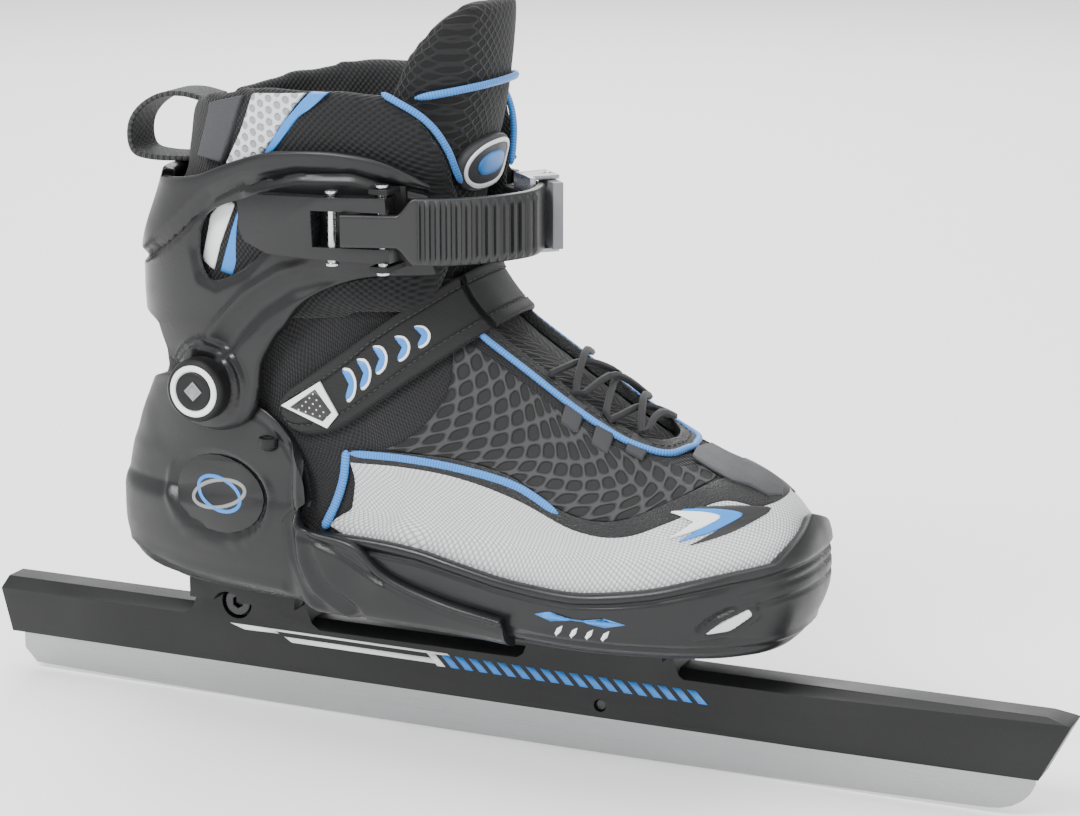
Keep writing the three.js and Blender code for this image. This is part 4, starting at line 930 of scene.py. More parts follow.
@dataclass(frozen=True)
class Moulded(Finish):
    """Injection-moulded plastic: a fine leathery grain, soft flow marks and dull patches."""

    grain: float = 1.6
    depth: float = 0.05
    shine: float = 0.1

    def dress(self, graph: Graph) -> None:
        """Grain from scattered cells, roughness and colour from broad noise."""
        where = graph.coordinates(Coordinates.OBJECT)
        broad = graph.noise(where, 0.035, 4)
        fine = graph.noise(where, self.grain * 1.7, 2)
        pits = graph.cells(where, self.grain)
        rough = graph.ramp(broad, self.roughness - self.shine, self.roughness + self.shine, 0.3, 0.7)
        graph.link(rough, graph.shader.inputs["Roughness"])
        colour = graph.mix(broad, self.tinted(0.82), self.tinted(1.2))
        graph.link(colour, graph.shader.inputs["Base Color"])
        height = graph.math("MULTIPLY_ADD", pits, 0.6, graph.math("MULTIPLY", fine, 0.5))
        graph.relief(height, self.depth)


@dataclass(frozen=True)
class Brushed(Finish):
    """Metal ground or drawn along one axis, with streaks in its shine."""

    along: tuple = (0.01, 1.2, 1.2)
    depth: float = 0.012

    def dress(self, graph: Graph) -> None:
        """Streaks from noise stretched along the grinding direction."""
        streaks = graph.noise(graph.coordinates(Coordinates.OBJECT, self.along), 1.6, 5, 0.6)
        broad = graph.noise(graph.coordinates(Coordinates.OBJECT), 0.02, 3)
        rough = graph.ramp(streaks, self.roughness - 0.09, self.roughness + 0.1, 0.3, 0.7)
        graph.link(rough, graph.shader.inputs["Roughness"])
        colour = graph.mix(graph.math("MULTIPLY_ADD", broad, 0.5, graph.math("MULTIPLY", streaks, 0.5)),
                           self.tinted(0.82), self.tinted(1.12))
        graph.link(colour, graph.shader.inputs["Base Color"])
        graph.relief(streaks, self.depth)


@dataclass(frozen=True)
class Speckled(Finish):
    """Powder-coated or anodised alloy: tiny bright flecks in a dark satin coat."""

    flecks: float = 2.4

    def dress(self, graph: Graph) -> None:
        """Flecks where cells are near their middles, and orange peel from noise."""
        where = graph.coordinates(Coordinates.OBJECT)
        cell = graph.cells(where, self.flecks)
        fleck = graph.ramp(cell, 1, 0, 0.1, 0.22)
        peel = graph.noise(where, 1.1, 2)
        broad = graph.noise(where, 0.02, 3)
        graph.link(graph.mix(fleck, self.colour, self.tinted(3.4)), graph.shader.inputs["Base Color"])
        graph.link(graph.ramp(broad, self.roughness - 0.06, self.roughness + 0.08, 0.3, 0.7),
                   graph.shader.inputs["Roughness"])
        graph.relief(graph.math("ADD", peel, graph.math("MULTIPLY", fleck, 0.3)), 0.03)


class Weave(Enum):
    """How a cloth's threads cross."""

    PLAIN = "plain"
    DIAMOND = "diamond"
    KNIT = "knit"
    HONEYCOMB = "honeycomb"
    RIB = "rib"
    TWILL = "twill"


@dataclass(frozen=True)
class Cloth(Finish):
    """Woven or knitted cloth whose threads or holes repeat every pitch millimetres, with painted shade in the
    low parts between them.
    """

    weave: Weave = Weave.PLAIN
    pitch: float = 1.2
    depth: float = 0.25
    # Colour of the low parts between threads and of the openings, which is painted shade.
    gap_shade: Optional[tuple] = None
    coordinates: Coordinates = Coordinates.CLOTH
    turn: float = 0.0
    fuzz: float = 0.12

    def _waves(self, graph: Graph, x: object, y: object) -> bpy.types.NodeSocket:
        """Height of the pattern between 0 and 1."""
        k = 2 * math.pi / self.pitch

        def sine(value: object, factor: float = 1.0) -> bpy.types.NodeSocket:
            """Sine of a value taken at factor waves a pitch."""
            return graph.math("SINE", graph.math("MULTIPLY", value, k * factor))

        if self.weave is Weave.PLAIN:
            product = graph.math("MULTIPLY", sine(x, 0.5), sine(y, 0.5))
            return graph.math("ABSOLUTE", product)
        if self.weave is Weave.TWILL:
            diagonal = graph.math("MULTIPLY_ADD", y, 2.2, x)
            return graph.math("MULTIPLY_ADD", sine(diagonal), 0.5, 0.5)
        if self.weave is Weave.RIB:
            return graph.math("MULTIPLY_ADD", sine(x), 0.5, 0.5)
        if self.weave is Weave.KNIT:
            row = graph.math("MULTIPLY", sine(x), sine(y))
            return graph.math("MULTIPLY_ADD", row, 0.5, 0.5)
        if self.weave is Weave.DIAMOND:
            down = graph.math("SUBTRACT", x, graph.math("MULTIPLY", y, 0.8))
            up = graph.math("ADD", x, graph.math("MULTIPLY", y, 0.8))
            product = graph.math("MULTIPLY", sine(down, 0.5), sine(up, 0.5))
            return graph.ramp(graph.math("ABSOLUTE", product), 1, 0, 0.1, 0.5)
        third = 2 * math.pi / 3
        total: object = 0.0
        for i in range(3):
            c, s = math.cos(i * third), math.sin(i * third)
            across = graph.math("MULTIPLY_ADD", x, c, graph.math("MULTIPLY", y, s))
            total = graph.math("ADD", graph.math("COSINE", graph.math("MULTIPLY", across, k)), total)
        return graph.ramp(total, 1, 0, -0.6, 1.1)

    def dress(self, graph: Graph) -> None:
        """Threads from the waves, worn and uneven by fine noise, with painted shade: the low parts of the
        weave take a darker colour.
        """
        vector = graph.coordinates(self.coordinates, turn=self.turn)
        where = graph.coordinates(Coordinates.OBJECT)
        x, y, z = graph.split(vector)
        if self.coordinates is Coordinates.OBJECT:
            x, y = graph.math("ADD", x, graph.math("ABSOLUTE", y)), z
        height = self._waves(graph, x, y)
        fine = graph.noise(where, 3.2, 2)
        broad = graph.noise(where, 0.05, 3)
        height = graph.math("MULTIPLY_ADD", fine, self.fuzz, height)
        # Painted shade: share is 0 in the low parts of the weave, which take the darker gap colour, by
        # default 0.35 of the cloth's own.
        gap_shade = self.gap_shade or self.tinted(0.35)
        tone = graph.mix(broad, self.tinted(0.88), self.tinted(1.12))
        share = graph.ramp(height, 0, 1, 0.12, 0.7)
        graph.link(graph.mix(share, gap_shade, tone), graph.shader.inputs["Base Color"])
        graph.relief(height, self.depth)


@dataclass(frozen=True)
class Grained(Finish):
    """Coated synthetic leather or rubber: pebbles and shallow creases."""

    pebble: float = 1.1
    depth: float = 0.12

    def dress(self, graph: Graph) -> None:
        """Pebbles from the gaps between cells."""
        where = graph.coordinates(Coordinates.OBJECT)
        gaps = graph.cells(where, self.pebble, "DISTANCE_TO_EDGE")
        height = graph.ramp(gaps, 0, 1, 0, 0.35)
        broad = graph.noise(where, 0.06, 4)
        graph.link(graph.mix(broad, self.tinted(0.8), self.tinted(1.2)), graph.shader.inputs["Base Color"])
        graph.link(graph.ramp(broad, self.roughness - 0.08, self.roughness + 0.08, 0.3, 0.7),
                   graph.shader.inputs["Roughness"])
        graph.relief(graph.math("MULTIPLY_ADD", broad, 0.6, height), self.depth)


@dataclass(frozen=True)
class Print(Finish):
    """Screen-printed or foil mark: a film with faint edges of its own."""

    def dress(self, graph: Graph) -> None:
        """Slight colour and shine variation with a fine tooth."""
        where = graph.coordinates(Coordinates.OBJECT)
        broad = graph.noise(where, 0.2, 3)
        graph.link(graph.mix(broad, self.tinted(0.9), self.tinted(1.08)), graph.shader.inputs["Base Color"])
        graph.relief(graph.noise(where, 4.0, 2), 0.02)


class Finishes:
    """Every finish of the skate, made once."""

    shell = Moulded(
        "shell_plastic", (0.0085, 0.0088, 0.0095), 0.36, specular=0.34, grain=1.5, depth=0.035).make()
    cuff = Moulded(
        "cuff_plastic", (0.0078, 0.008, 0.0088), 0.32, specular=0.36, grain=1.3, depth=0.02).make()
    lever = Moulded(
        "lever_plastic", (0.0078, 0.008, 0.0088), 0.3, specular=0.36, grain=1.8, depth=0.015).make()
    dark = Moulded(
        "dark_plastic", (0.005, 0.005, 0.0055), 0.5, specular=0.3, depth=0.03).make()
    white = Moulded(
        "white_plastic", (0.78, 0.79, 0.8), 0.4, grain=2.0, depth=0.01).make()
    frame = Speckled(
        "anodised_frame", (0.006, 0.0062, 0.0068), 0.42, metallic=0.2, specular=0.4).make()
    blade = Brushed(
        "ground_blade", (0.36, 0.365, 0.37), 0.34, metallic=1.0).make()
    steel = Brushed(
        "turned_steel", (0.62, 0.63, 0.64), 0.24, metallic=1.0, along=(0.6, 0.6, 0.6)).make()
    bolt = Brushed(
        "black_oxide", (0.05, 0.05, 0.052), 0.34, metallic=0.9, along=(0.5, 0.5, 0.5)).make()
    # The darker gap colours given to the cloth finishes below are painted shade between threads and in the
    # openings.
    mesh = Cloth(
        "air_mesh", (0.011, 0.0112, 0.0125), 0.8, specular=0.3, sheen=0.08, weave=Weave.KNIT, pitch=1.9,
        depth=0.5, gap_shade=(0.002, 0.002, 0.0022), turn=0.5).make()
    diamond = Cloth(
        "diamond_mesh", (0.03, 0.031, 0.033), 0.65, specular=0.35, sheen=0.05, weave=Weave.DIAMOND, pitch=7.2,
        depth=1.0, gap_shade=(0.0015, 0.0015, 0.0017), turn=0.35, fuzz=0.1).make()
    silver = Cloth(
        "silver_weave", (0.6, 0.605, 0.615), 0.5, metallic=0.1, sheen=0.05, weave=Weave.PLAIN,
        pitch=1.25, depth=0.2, gap_shade=(0.3, 0.305, 0.315), turn=0.6).make()
    honeycomb = Cloth(
        "silver_honeycomb", (0.6, 0.62, 0.64), 0.45, metallic=0.2, weave=Weave.HONEYCOMB,
        pitch=3.4, depth=0.6, gap_shade=(0.28, 0.29, 0.3)).make()
    leather = Grained(
        "coated_leather", (0.008, 0.0082, 0.009), 0.48, specular=0.35).make()
    strap = Cloth(
        "strap_facing", (0.0085, 0.0088, 0.0095), 0.6, specular=0.3, sheen=0.05, weave=Weave.TWILL, pitch=1.0,
        depth=0.12).make()
    blue = Cloth(
        "blue_piping", (0.02, 0.2, 0.58), 0.5, sheen=0.2, weave=Weave.RIB, pitch=1.0,
        depth=0.12, gap_shade=(0.012, 0.12, 0.38)).make()
    blue_print = Print(
        "blue_print", (0.02, 0.19, 0.57), 0.42).make()
    white_print = Print(
        "white_print", (0.75, 0.76, 0.77), 0.45).make()
    grey_print = Print(
        "grey_print", (0.2, 0.21, 0.22), 0.45).make()
    black_print = Print(
        "black_print", (0.012, 0.012, 0.013), 0.4).make()
    grey_rubber = Grained(
        "grey_rubber", (0.035, 0.037, 0.041), 0.5, specular=0.35, pebble=1.6, depth=0.06).make()
    webbing = Cloth(
        "black_webbing", (0.03, 0.031, 0.033), 0.7, specular=0.3, sheen=0.08, weave=Weave.DIAMOND, pitch=2.4,
        depth=0.7, gap_shade=(0.012, 0.012, 0.013)).make()
    grey_webbing = Cloth(
        "grey_webbing", (0.03, 0.031, 0.034), 0.7, specular=0.3, sheen=0.08, weave=Weave.TWILL, pitch=1.2,
        depth=0.3).make()
    lace = Cloth(
        "braided_lace", (0.012, 0.012, 0.0135), 0.75, specular=0.3, sheen=0.1, weave=Weave.DIAMOND, pitch=1.3,
        depth=0.35).make()
    thread = Cloth(
        "black_thread", (0.035, 0.035, 0.038), 0.7, weave=Weave.TWILL, pitch=0.4, depth=0.04,
        coordinates=Coordinates.OBJECT).make()
    collar = Cloth(
        "collar_mesh", (0.0085, 0.0088, 0.0098), 0.8, specular=0.3, sheen=0.08, weave=Weave.KNIT, pitch=2.2,
        depth=0.5, gap_shade=(0.0016, 0.0016, 0.0018), coordinates=Coordinates.OBJECT).make()
    tongue = Cloth(
        "tongue_mesh", (0.0095, 0.0098, 0.0105), 0.8, specular=0.3, sheen=0.08,
        weave=Weave.DIAMOND, pitch=3.2,
        depth=0.6, gap_shade=(0.002, 0.002, 0.0022), coordinates=Coordinates.OBJECT).make()
    strap_plastic = Moulded(
        "ladder_plastic", (0.01, 0.0102, 0.011), 0.4, specular=0.45, grain=2.0, depth=0.015).make()
    clip = Brushed(
        "cast_clip", (0.3, 0.31, 0.33), 0.34, metallic=0.9, along=(0.4, 0.4, 0.4)).make()
    clip_lever = Moulded(
        "clip_lever_plastic", (0.14, 0.145, 0.155), 0.42, specular=0.5, grain=2.0, depth=0.015).make()
    silver_plastic = Brushed(
        "silver_insert", (0.62, 0.63, 0.64), 0.35, metallic=0.7, along=(0.5, 0.5, 0.5)).make()
    insole = Grained(
        "insole_foam", (0.03, 0.03, 0.033), 0.9, pebble=0.9).make()


FINISH = Finishes


# ------------------------------------------------------------------ shared shapes
ROOT, TOE, CUFF = "root", "toe_box", "cuff"
SIDES = ((-1, "right"), (1, "left"))


def side_path(points: Sequence, count: int, grow: float = 0.0, left: bool = False,
              closed: bool = False, straight: bool = False) -> Array:
    """Form coordinates along a smooth curve drawn in the side view."""
    return FORM.side(curve(points, count, closed, straight), grow, left)


def mirrored(right: Array) -> Array:
    """The same path on the left side, by angles counted on from the right."""
    return np.stack([right[:, 0], 2 * math.pi - right[:, 1]], 1)


def both_sides(right: Array) -> Array:
    """Path from the right side over to the left, ending where the right one starts mirrored."""
    return np.vstack([right, mirrored(right)[::-1]])


def round_back(right: Array) -> Array:
    """Path from the right side's front round the back to the left, with angles rising."""
    return np.vstack([right, (right * (1, -1))[::-1]])


def even(ta: Array, count: int, grow: float = 0.0, closed: bool = False) -> Array:
    """Form coordinates spread evenly in space along a path of them."""
    if closed:
        ta = np.vstack([ta, ta[:1]])
    run = arc(FORM.point(ta[:, 0], ta[:, 1], grow))
    return pick(np.linspace(0, run[-1], count + 1 if closed else count)[:count], run, ta)


def face_y(target: bpy.types.Object, x: Array, z: Array, side: int = -1) -> Array:
    """Lateral place in millimetres where a target's outer side lies at side-view points."""
    found = []
    for px, pz in zip(np.ravel(x), np.ravel(z)):
        hit, where, _, _ = target.ray_cast(Vector((px * MM, side * 0.2, pz * MM)), Vector((0, -side, 0)))
        found.append(where.y / MM if hit else np.nan)
    y = np.array(found)
    y[np.isnan(y)] = np.nanmean(y)
    return y.reshape(np.shape(x))


def inlay(name: str, outline: Sequence, target: bpy.types.Object, material: bpy.types.Material,
          rise: float = 0.3, side: int = -1, rings: int = 6, flat: bool = False) -> bpy.types.Object:
    """Thin closed plate lying on a target's side face inside a star-shaped side-view outline.

    Args:
        name: Piece name.
        outline: Rows of (x, z) in millimetres.
        target: Object that the plate lies on.
        material: Finish.
        rise: Height of the plate over the face.
        side: -1 for the right side and 1 for the left.
        rings: Rings from the middle to the outline.
        flat: Whether the face is flat, so that one height serves.

    Returns:
        The new object.
    """
    rows = np.asarray(outline, float)
    middle = rows.mean(0)
    share = np.linspace(0, 1, rings + 1)[1:]
    xz = middle + (rows - middle)[None] * share[:, None, None]
    if flat:
        y = np.full(xz.shape[:2], face_y(target, middle[:1], middle[1:], side)[0])
    else:
        y = face_y(target, xz[..., 0], xz[..., 1], side)
    edge = np.where(share > 0.99, 0.35, 1.0)[:, None]
    outer = np.stack([xz[..., 0], y + side * rise * edge, xz[..., 1]], -1)
    inner = np.stack([xz[..., 0], y - side * 0.5, xz[..., 1]], -1)[::-1]
    centre = np.array([[middle[0], y[0].mean() + side * rise, middle[1]],
                       [middle[0], y[0].mean() - side * 0.5, middle[1]]])
    verts = np.vstack([outer.reshape(-1, 3), inner.reshape(-1, 3), centre])
    return make_mesh(name, verts, tube_faces(2 * rings, len(rows)), material)


def slab(name: str, outline: Array, low: float, high: float, material: bpy.types.Material,
         round_off: float = 0.5) -> bpy.types.Object:
    """Flat plate between two heights inside an outline of (x, y) rows, with rounded edges."""
    middle = outline.mean(0)
    reach = np.linalg.norm(outline - middle, axis=1)[:, None]
    rings = [(outline - (outline - middle) / reach * inset, height) for inset, height in (
        (round_off, high), (0.0, high - round_off), (0.0, low + round_off), (round_off, low))]
    verts = np.vstack([np.column_stack([xy, np.full(len(xy), z)]) for xy, z in rings]
                      + [[(*middle, high)], [(*middle, low)]])
    made = make_mesh(name, verts, tube_faces(len(rings), len(outline)), material)
    sharpen(made, 50)
    return made


def stuffed(obj: bpy.types.Object, pressure: float = 4.0, cell: float = 4.0,
            reach: float = 3.0) -> bpy.types.Object:
    """Inflates a soft piece by cloth simulation and keeps its movement small.

    Args:
        obj: Closed solid.
        pressure: Pressure inside.
        cell: Voxel size of the simulated cloth in millimetres.
        reach: Largest movement in millimetres.

    Returns:
        The same object with its settled shape and one level of subdivision.
    """
    remesh = obj.modifiers.new("cloth mesh", "REMESH")
    remesh.mode, remesh.voxel_size = "VOXEL", cell * MM
    apply_modifiers(obj)
    start = np.zeros(len(obj.data.vertices) * 3)
    obj.data.vertices.foreach_get("co", start)
    cloth = obj.modifiers.new("cloth", "CLOTH")
    cloth.settings.use_pressure = True
    cloth.settings.uniform_pressure_force = pressure
    cloth.settings.effector_weights.gravity = 0
    cloth.settings.quality = 5
    cloth.settings.mass = 0.3
    cloth.settings.tension_stiffness = cloth.settings.compression_stiffness = 18
    cloth.settings.bending_stiffness = 3
    cloth.point_cache.frame_start, cloth.point_cache.frame_end = 1, 20
    for step in range(1, 21):
        bpy.context.scene.frame_set(step)
    apply_modifiers(obj)
    bpy.context.scene.frame_set(1)
    end = np.zeros(len(start))
    obj.data.vertices.foreach_get("co", end)
    move = (end - start).reshape(-1, 3)
    move -= np.median(move, axis=0)
    size = np.linalg.norm(move, axis=1, keepdims=True)
    move *= np.minimum(1, reach * MM / np.maximum(size, 1e-9))
    obj.data.vertices.foreach_set("co", (start.reshape(-1, 3) + move).ravel())
    log.info("%-26s settled, largest move %.1f mm", obj.name, size.max() / MM)
    smooth = obj.modifiers.new("smooth", "SUBSURF")
    smooth.levels = smooth.render_levels = 1
    apply_modifiers(obj)
    obj.data.polygons.foreach_set("use_smooth", [True] * len(obj.data.polygons))
    return obj


def across_slide(obj: bpy.types.Object, slot: str, *replaced: str) -> bpy.types.Object:
    """Bakes the placement of a textile piece that spans the heel half and the sliding toe half into its mesh,
    and hides the CAD nodes that it stands for.
    """
    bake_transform(obj)
    return declared(obj, slot, *replaced)


def across_ankle(obj: bpy.types.Object, slot: str, *replaced: str) -> bpy.types.Object:
    """Bakes the placement of a padded piece that spans the boot and the cuff into its mesh, and hides the CAD
    nodes that it stands for.
    """
    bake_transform(obj)
    return declared(obj, slot, *replaced)


def declared(obj: bpy.types.Object, slot: str, *replaced: str) -> bpy.types.Object:
    """Hides the CAD nodes that a soft piece stands for and logs its face count."""
    if replaced:
        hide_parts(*replaced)
    log.info("%-26s %-10s %7d faces", obj.name, "bends", len(obj.data.polygons))
    return obj


# ------------------------------------------------------------------ sub-assemblies
@dataclass(frozen=True)
class FrameSizes:
    """Sizes of the marks on the rail, in millimetres."""

    stripe_x: tuple = (-88.0, -20.0)
    dash_x: tuple = (-42.0, 82.0)
    mark_z: tuple = (24.2, 30.0)
    dash_pitch: float = 5.4
    dash_lead: float = 22.0
    dash_lean: float = 4.2
    mark_rise: float = 0.18
    fasteners: tuple = ("rear_blade_bolt", "rear_blade_nut", "front_blade_pin", "heel_mount_bolt",
                        "toe_mount_bolt")
    dash_width: float = 3.2


class Frame:
    """Blade, alloy rail with its towers, bolts and printed marks."""

    def __init__(self, sizes: FrameSizes) -> None:
        """Keeps the sizes."""
        self.sizes = sizes

    def build(self) -> None:
        """Makes every piece."""
        blade = frame["nodes"]["blade"]
        blade.data.materials.clear()
        blade.data.materials.append(FINISH.blade)
        rail = refined("frame_rail", FINISH.frame, 1.1, ROOT, "frame_black")
        for node in self.sizes.fasteners:
            refined(node, FINISH.bolt, 0.35, ROOT, "bright_steel")
        refined("sole_plate", FINISH.dark, 0.6, ROOT, "black_plastic")
        refined("insole", FINISH.insole, 0.8, ROOT, "black_fabric")
        for side, word in SIDES:
            self._stripe(rail, side, word)
            self._dashes(rail, side, word)

    def _stripe(self, rail: bpy.types.Object, side: int, word: str) -> None:
        """Pointed white stripe with a dark centre line."""
        (x0, x1), (low, high) = self.sizes.stripe_x, self.sizes.mark_z
        wedge = [(x0 - 10, high + 0.6), (x0 + 6, high + 0.6), (x0 + 10, high - 0.9), (x0 - 4, high - 1.2)]
        line = [(x0 + 6, high + 0.6), (x1 + 8, high + 0.6), (x1 + 9, high - 0.2), (x0 + 6, high - 0.2)]
        bar = [(x0 + 12, low + 4.0), (x1 + 4, low + 4.0), (x1 + 6, low + 2.2), (x0 + 15, low + 2.2)]
        rise = self.sizes.mark_rise
        made = [inlay("mark", rows, rail, FINISH.white_print, rise, side, 1, True)
                for rows in (wedge, line, bar)]
        place(join(f"rail_stripe_{word}", made), ROOT, "white_plastic")

    def _dashes(self, rail: bpy.types.Object, side: int, word: str) -> None:
        """Row of slanted blue dashes, pale at its rear end."""
        low, high = self.sizes.mark_z
        pieces = []
        lean, rise = self.sizes.dash_lean, self.sizes.mark_rise
        start, end = self.sizes.dash_x
        for i, x in enumerate(np.arange(start + self.sizes.dash_lead, end, self.sizes.dash_pitch)):
            rows = [(x, high), (x + self.sizes.dash_width, high),
                    (x + self.sizes.dash_width + lean, low + 1.4), (x + lean, low + 1.4)]
            finish = FINISH.white_print if i < 1 else FINISH.blue_print
            pieces.append(inlay(f"dash_{i}", rows, rail, finish, rise, side, 1, True))
        place(join(f"rail_dashes_{word}", pieces), ROOT, "silver_trim")


@dataclass(frozen=True)
class ShellSizes:
    """Side-view edges of the two shells and of their details, in millimetres."""

    heel_top: tuple = ((25, 60), (10, 61.5), (1, 63), (-10, 66), (-19, 70), (-27, 77), (-33, 79),
                       (-42, 80), (-49.5, 82), (-51, 92), (-49.5, 103), (-54, 110), (-62, 117.5),
                       (-75, 123), (-90, 125.5), (-104, 126))
    heel_back: float = 118.0
    lip: tuple = ((-46, 79.5), (-24, 79.3), (-8, 77.9), (7, 75.2), (23, 72.9), (37, 72), (52, 71.7),
                  (66, 73.2), (79, 75.3), (91, 78.4), (102, 81.0), (112, 82.8))
    oval: tuple = (-85.0, 87.0, 20.4, 14.8)
    leaf: tuple = ((91, 58.5), (99, 65.5), (108.5, 70.5), (109, 66), (102, 60.3))
    skirt: float = 2.8
    skirt_x: tuple = (-56.0, -47.0)


class Shells:
    """Hard heel and toe shells with their badges, rivets and vents."""

    def __init__(self, sizes: ShellSizes) -> None:
        """Keeps the sizes."""
        self.sizes = sizes

    def build(self) -> None:
        """Makes every piece."""
        self.heel, self.toe = self._heel(), self._toe()
        for side, word in SIDES:
            self._badge(side, word)
            refined(f"shell_rivet_{word}", FINISH.dark, 0.6, ROOT, "black_plastic")
            leaf = FORM.side(curve(self.sizes.leaf, 50, True), 3, side > 0)
            leaf = (leaf - leaf.mean(0)) * 0.8 + leaf.mean(0)
            vent = patch(f"vent_{word}", leaf, 2.0, 1.5, FINISH.silver_plastic, 8, 1.2, 1.5)
            place(vent, TOE, "silver_trim", f"vent_insert_{word}")
            refined(f"pivot_bolt_{word}", FINISH.bolt, 0.4, ROOT, "bright_steel")
            self._pivot(side, word)
            self._marks(side, word)
        refined("size_button", FINISH.lever, 0.5, "button", "black_plastic")

    def _heel_relief(self, x: Array, z: Array, y: Array) -> Array:
        """Oval dish, raised top edge, moulded ridge before the heel and a hollow behind the toe."""
        cx, cz, rx, rz = self.sizes.oval
        r = np.hypot((x - cx) / rx, (z - cz) / rz)
        edge = distance_to_path(x, z, self.sizes.heel_top)
        back = np.abs(z - self.sizes.heel_back) + 8 * smooth_step(x, -118, -104)
        rise = -1.5 * (1 - smooth_step(r, 0.93, 1.06)) + 0.7 * bump(r, 1.1, 0.12)
        rise += 0.8 * (1 - smooth_step(np.minimum(edge, back), 1.2, 2.6))
        rise -= 0.5 * bump(edge, 3.6, 1.6)
        ridge = distance_to_path(x, z, ((-51, 82), (-49, 70), (-44, 60), (-34, 53)))
        rise += 0.9 * bump(ridge, 0, 2.2) - 0.8 * bump(ridge, 4.0, 2.5)
        rise -= 1.2 * bump(np.hypot(x + 30, (z - 66) * 1.3), 0, 12)
        rise += 0.8 * bump(distance_to_path(x, z, ((-130, 62), (-100, 58), (-60, 57))), 0, 3.0)
        slit = distance_to_path(x, z, ((-43, 77), (-35, 74), (-27, 69), (-19, 66)))
        under = (1 - smooth_step(np.hypot(x - AX, z - AZ), 34, 42)) + (z > 112)
        rise = rise - np.clip(under, 0, 1) * np.maximum(rise + 0.1, 0)
        return rise - 1.0 * bump(slit, 0, 1.3)

    def _heel(self) -> bpy.types.Object:
        """Heel cup whose front skirt stands over the toe shell."""
        sizes = self.sizes
        right = side_path(sizes.heel_top, 150, 2)
        back_t = float(np.interp(sizes.heel_back, FORM.rear[:, 1], np.arange(len(FORM.rear))))
        q = np.linspace(0, 1, 22)[1:]
        corner = right[-1] + (np.array([back_t, 0]) - right[-1]) * np.stack([smooth_step(q, 0, 1), q], 1)
        right = even(np.vstack([right, corner]), 190, 2)
        start = FORM.side([(25, 50.5)], 2)[0, 1]
        low = np.stack([np.full(len(right), 0.1), np.linspace(start, 0, len(right))], 1)
        low[:, 1] = np.interp(FORM.point(right[:, 0], right[:, 1])[:, 0],
                              FORM.point(0.1, np.linspace(0, start, 80))[:, 0], np.linspace(0, start, 80))
        low[:, 1] = np.minimum.accumulate(low[:, 1] * np.linspace(1, 0, len(low)) ** 0.04)
        high, low = round_back(right[:-1]), round_back(low[:-1])

        def skirt(x: Array, z: Array, y: Array) -> Array:
            """Distance by which the front stands out over the toe shell."""
            return sizes.skirt * smooth_step(x, *sizes.skirt_x)

        cup = band("heel_cup", low, high, wall_profile(0.4, 3.7, 60, 1.3), FINISH.shell,
                   self._heel_relief, skirt)
        angle = np.linspace(start, -start, 90)
        outline = FORM.point(0.1, angle, 3.0)[:, :2]
        base = slab("heel_floor", outline, 48.9, 51.4, FINISH.shell, 0.5)
        return place(join("heel_shell_moulding", [cup, base]), ROOT, "black_plastic", "heel_shell")

    def _toe_relief(self, x: Array, z: Array, y: Array) -> Array:
        """Bumper lip, dark line under it, leaf-shaped vent, grooves at the toe and a sole welt."""
        lip = np.interp(x, *np.array(self.sizes.lip + ((121, 85.0),)).T)
        down = lip - z
        rise = 0.9 * (1 - smooth_step(down, 2.4, 3.6)) - 0.8 * bump(down, 4.4, 1.3)
        leaf = distance_to_path(x, z, self.sizes.leaf + self.sizes.leaf[:1])
        dx, dz = x - 101, z - 64.5
        inside = np.hypot(dx * 0.88 + dz * 0.47, (dz * 0.88 - dx * 0.47) * 2.5) < 10
        rise += 0.7 * bump(leaf, 0, 1.6) - 1.6 * inside * smooth_step(leaf, 0.6, 1.8)
        for shift in (0.0, 5.0):
            path = ((106 - shift * 0.2, 73.8 - shift), (113, 75.5 - shift), (121, 77 - shift))
            rise -= 0.8 * bump(distance_to_path(x, z, path), 0, 1.1) * (x > 104)
        rise += 0.7 * bump(z, 56.2, 1.5) * smooth_step(x, 20, 40)
        return rise - 0.6 * bump(z, 53.4, 1.3) * smooth_step(x, 20, 40)

    def _toe(self) -> bpy.types.Object:
        """Toe cap and sole rim."""
        right = even(np.vstack([side_path(self.sizes.lip, 120, 2),
                                [(4.05, math.pi)]]), 170, 2)
        start = FORM.side([(-46, 50.5)], 2)[0, 1]
        share = np.linspace(0, 1, len(right))
        low_a = start + (right[:, 1] - right[0, 1]) * (math.pi - start) / (math.pi - right[0, 1])
        low = np.stack([np.full(len(share), 0.1), low_a], 1)
        high, low = both_sides(right), both_sides(low)
        keep = np.ones(len(high), bool)
        keep[len(right)] = False
        cap = band("toe_cap", low[keep], high[keep], wall_profile(0.5, 3.6, 60, 1.3), FINISH.shell,
                   self._toe_relief)
        outline = FORM.point(0.1, np.linspace(start, 2 * math.pi - start, 120), 2.6)[:, :2]
        base = slab("toe_floor", outline, 46.9, 49.4, FINISH.shell, 0.6)
        return place(join("toe_shell_moulding", [cap, base]), TOE, "black_plastic", "toe_shell")

    def _badge(self, side: int, word: str) -> None:
        """Oval medallion with crossed rings."""
        badge = refined(f"side_badge_{word}", FINISH.lever, 0.5, ROOT, "silver_trim")
        centre = np.array([(-104 - 66) / 2, (73.5 + 100.5) / 2])
        w = np.linspace(0, 2 * math.pi, 65)[:-1]
        rings = []
        for tilt, long, short, finish in ((0.25, 11.5, 4.6, FINISH.grey_print),
                                          (-0.2, 9.5, 5.4, FINISH.blue_print)):
            x = long * np.cos(w) * math.cos(tilt) - short * np.sin(w) * math.sin(tilt)
            z = long * np.cos(w) * math.sin(tilt) + short * np.sin(w) * math.cos(tilt)
            xz = centre + np.stack([x, z], 1)
            y = face_y(badge, xz[:, 0], xz[:, 1], side)
            path = np.stack([xz[:, 0], y, xz[:, 1]], 1)
            out = np.tile([0.0, side, 0.0], (64, 1))
            rings.append(sweep(f"ring_{tilt}", path, out, circle_profile(0.75, 8, 0.5), finish,
                               closed=True))
        place(join(f"badge_rings_{word}", rings), ROOT, "silver_trim")

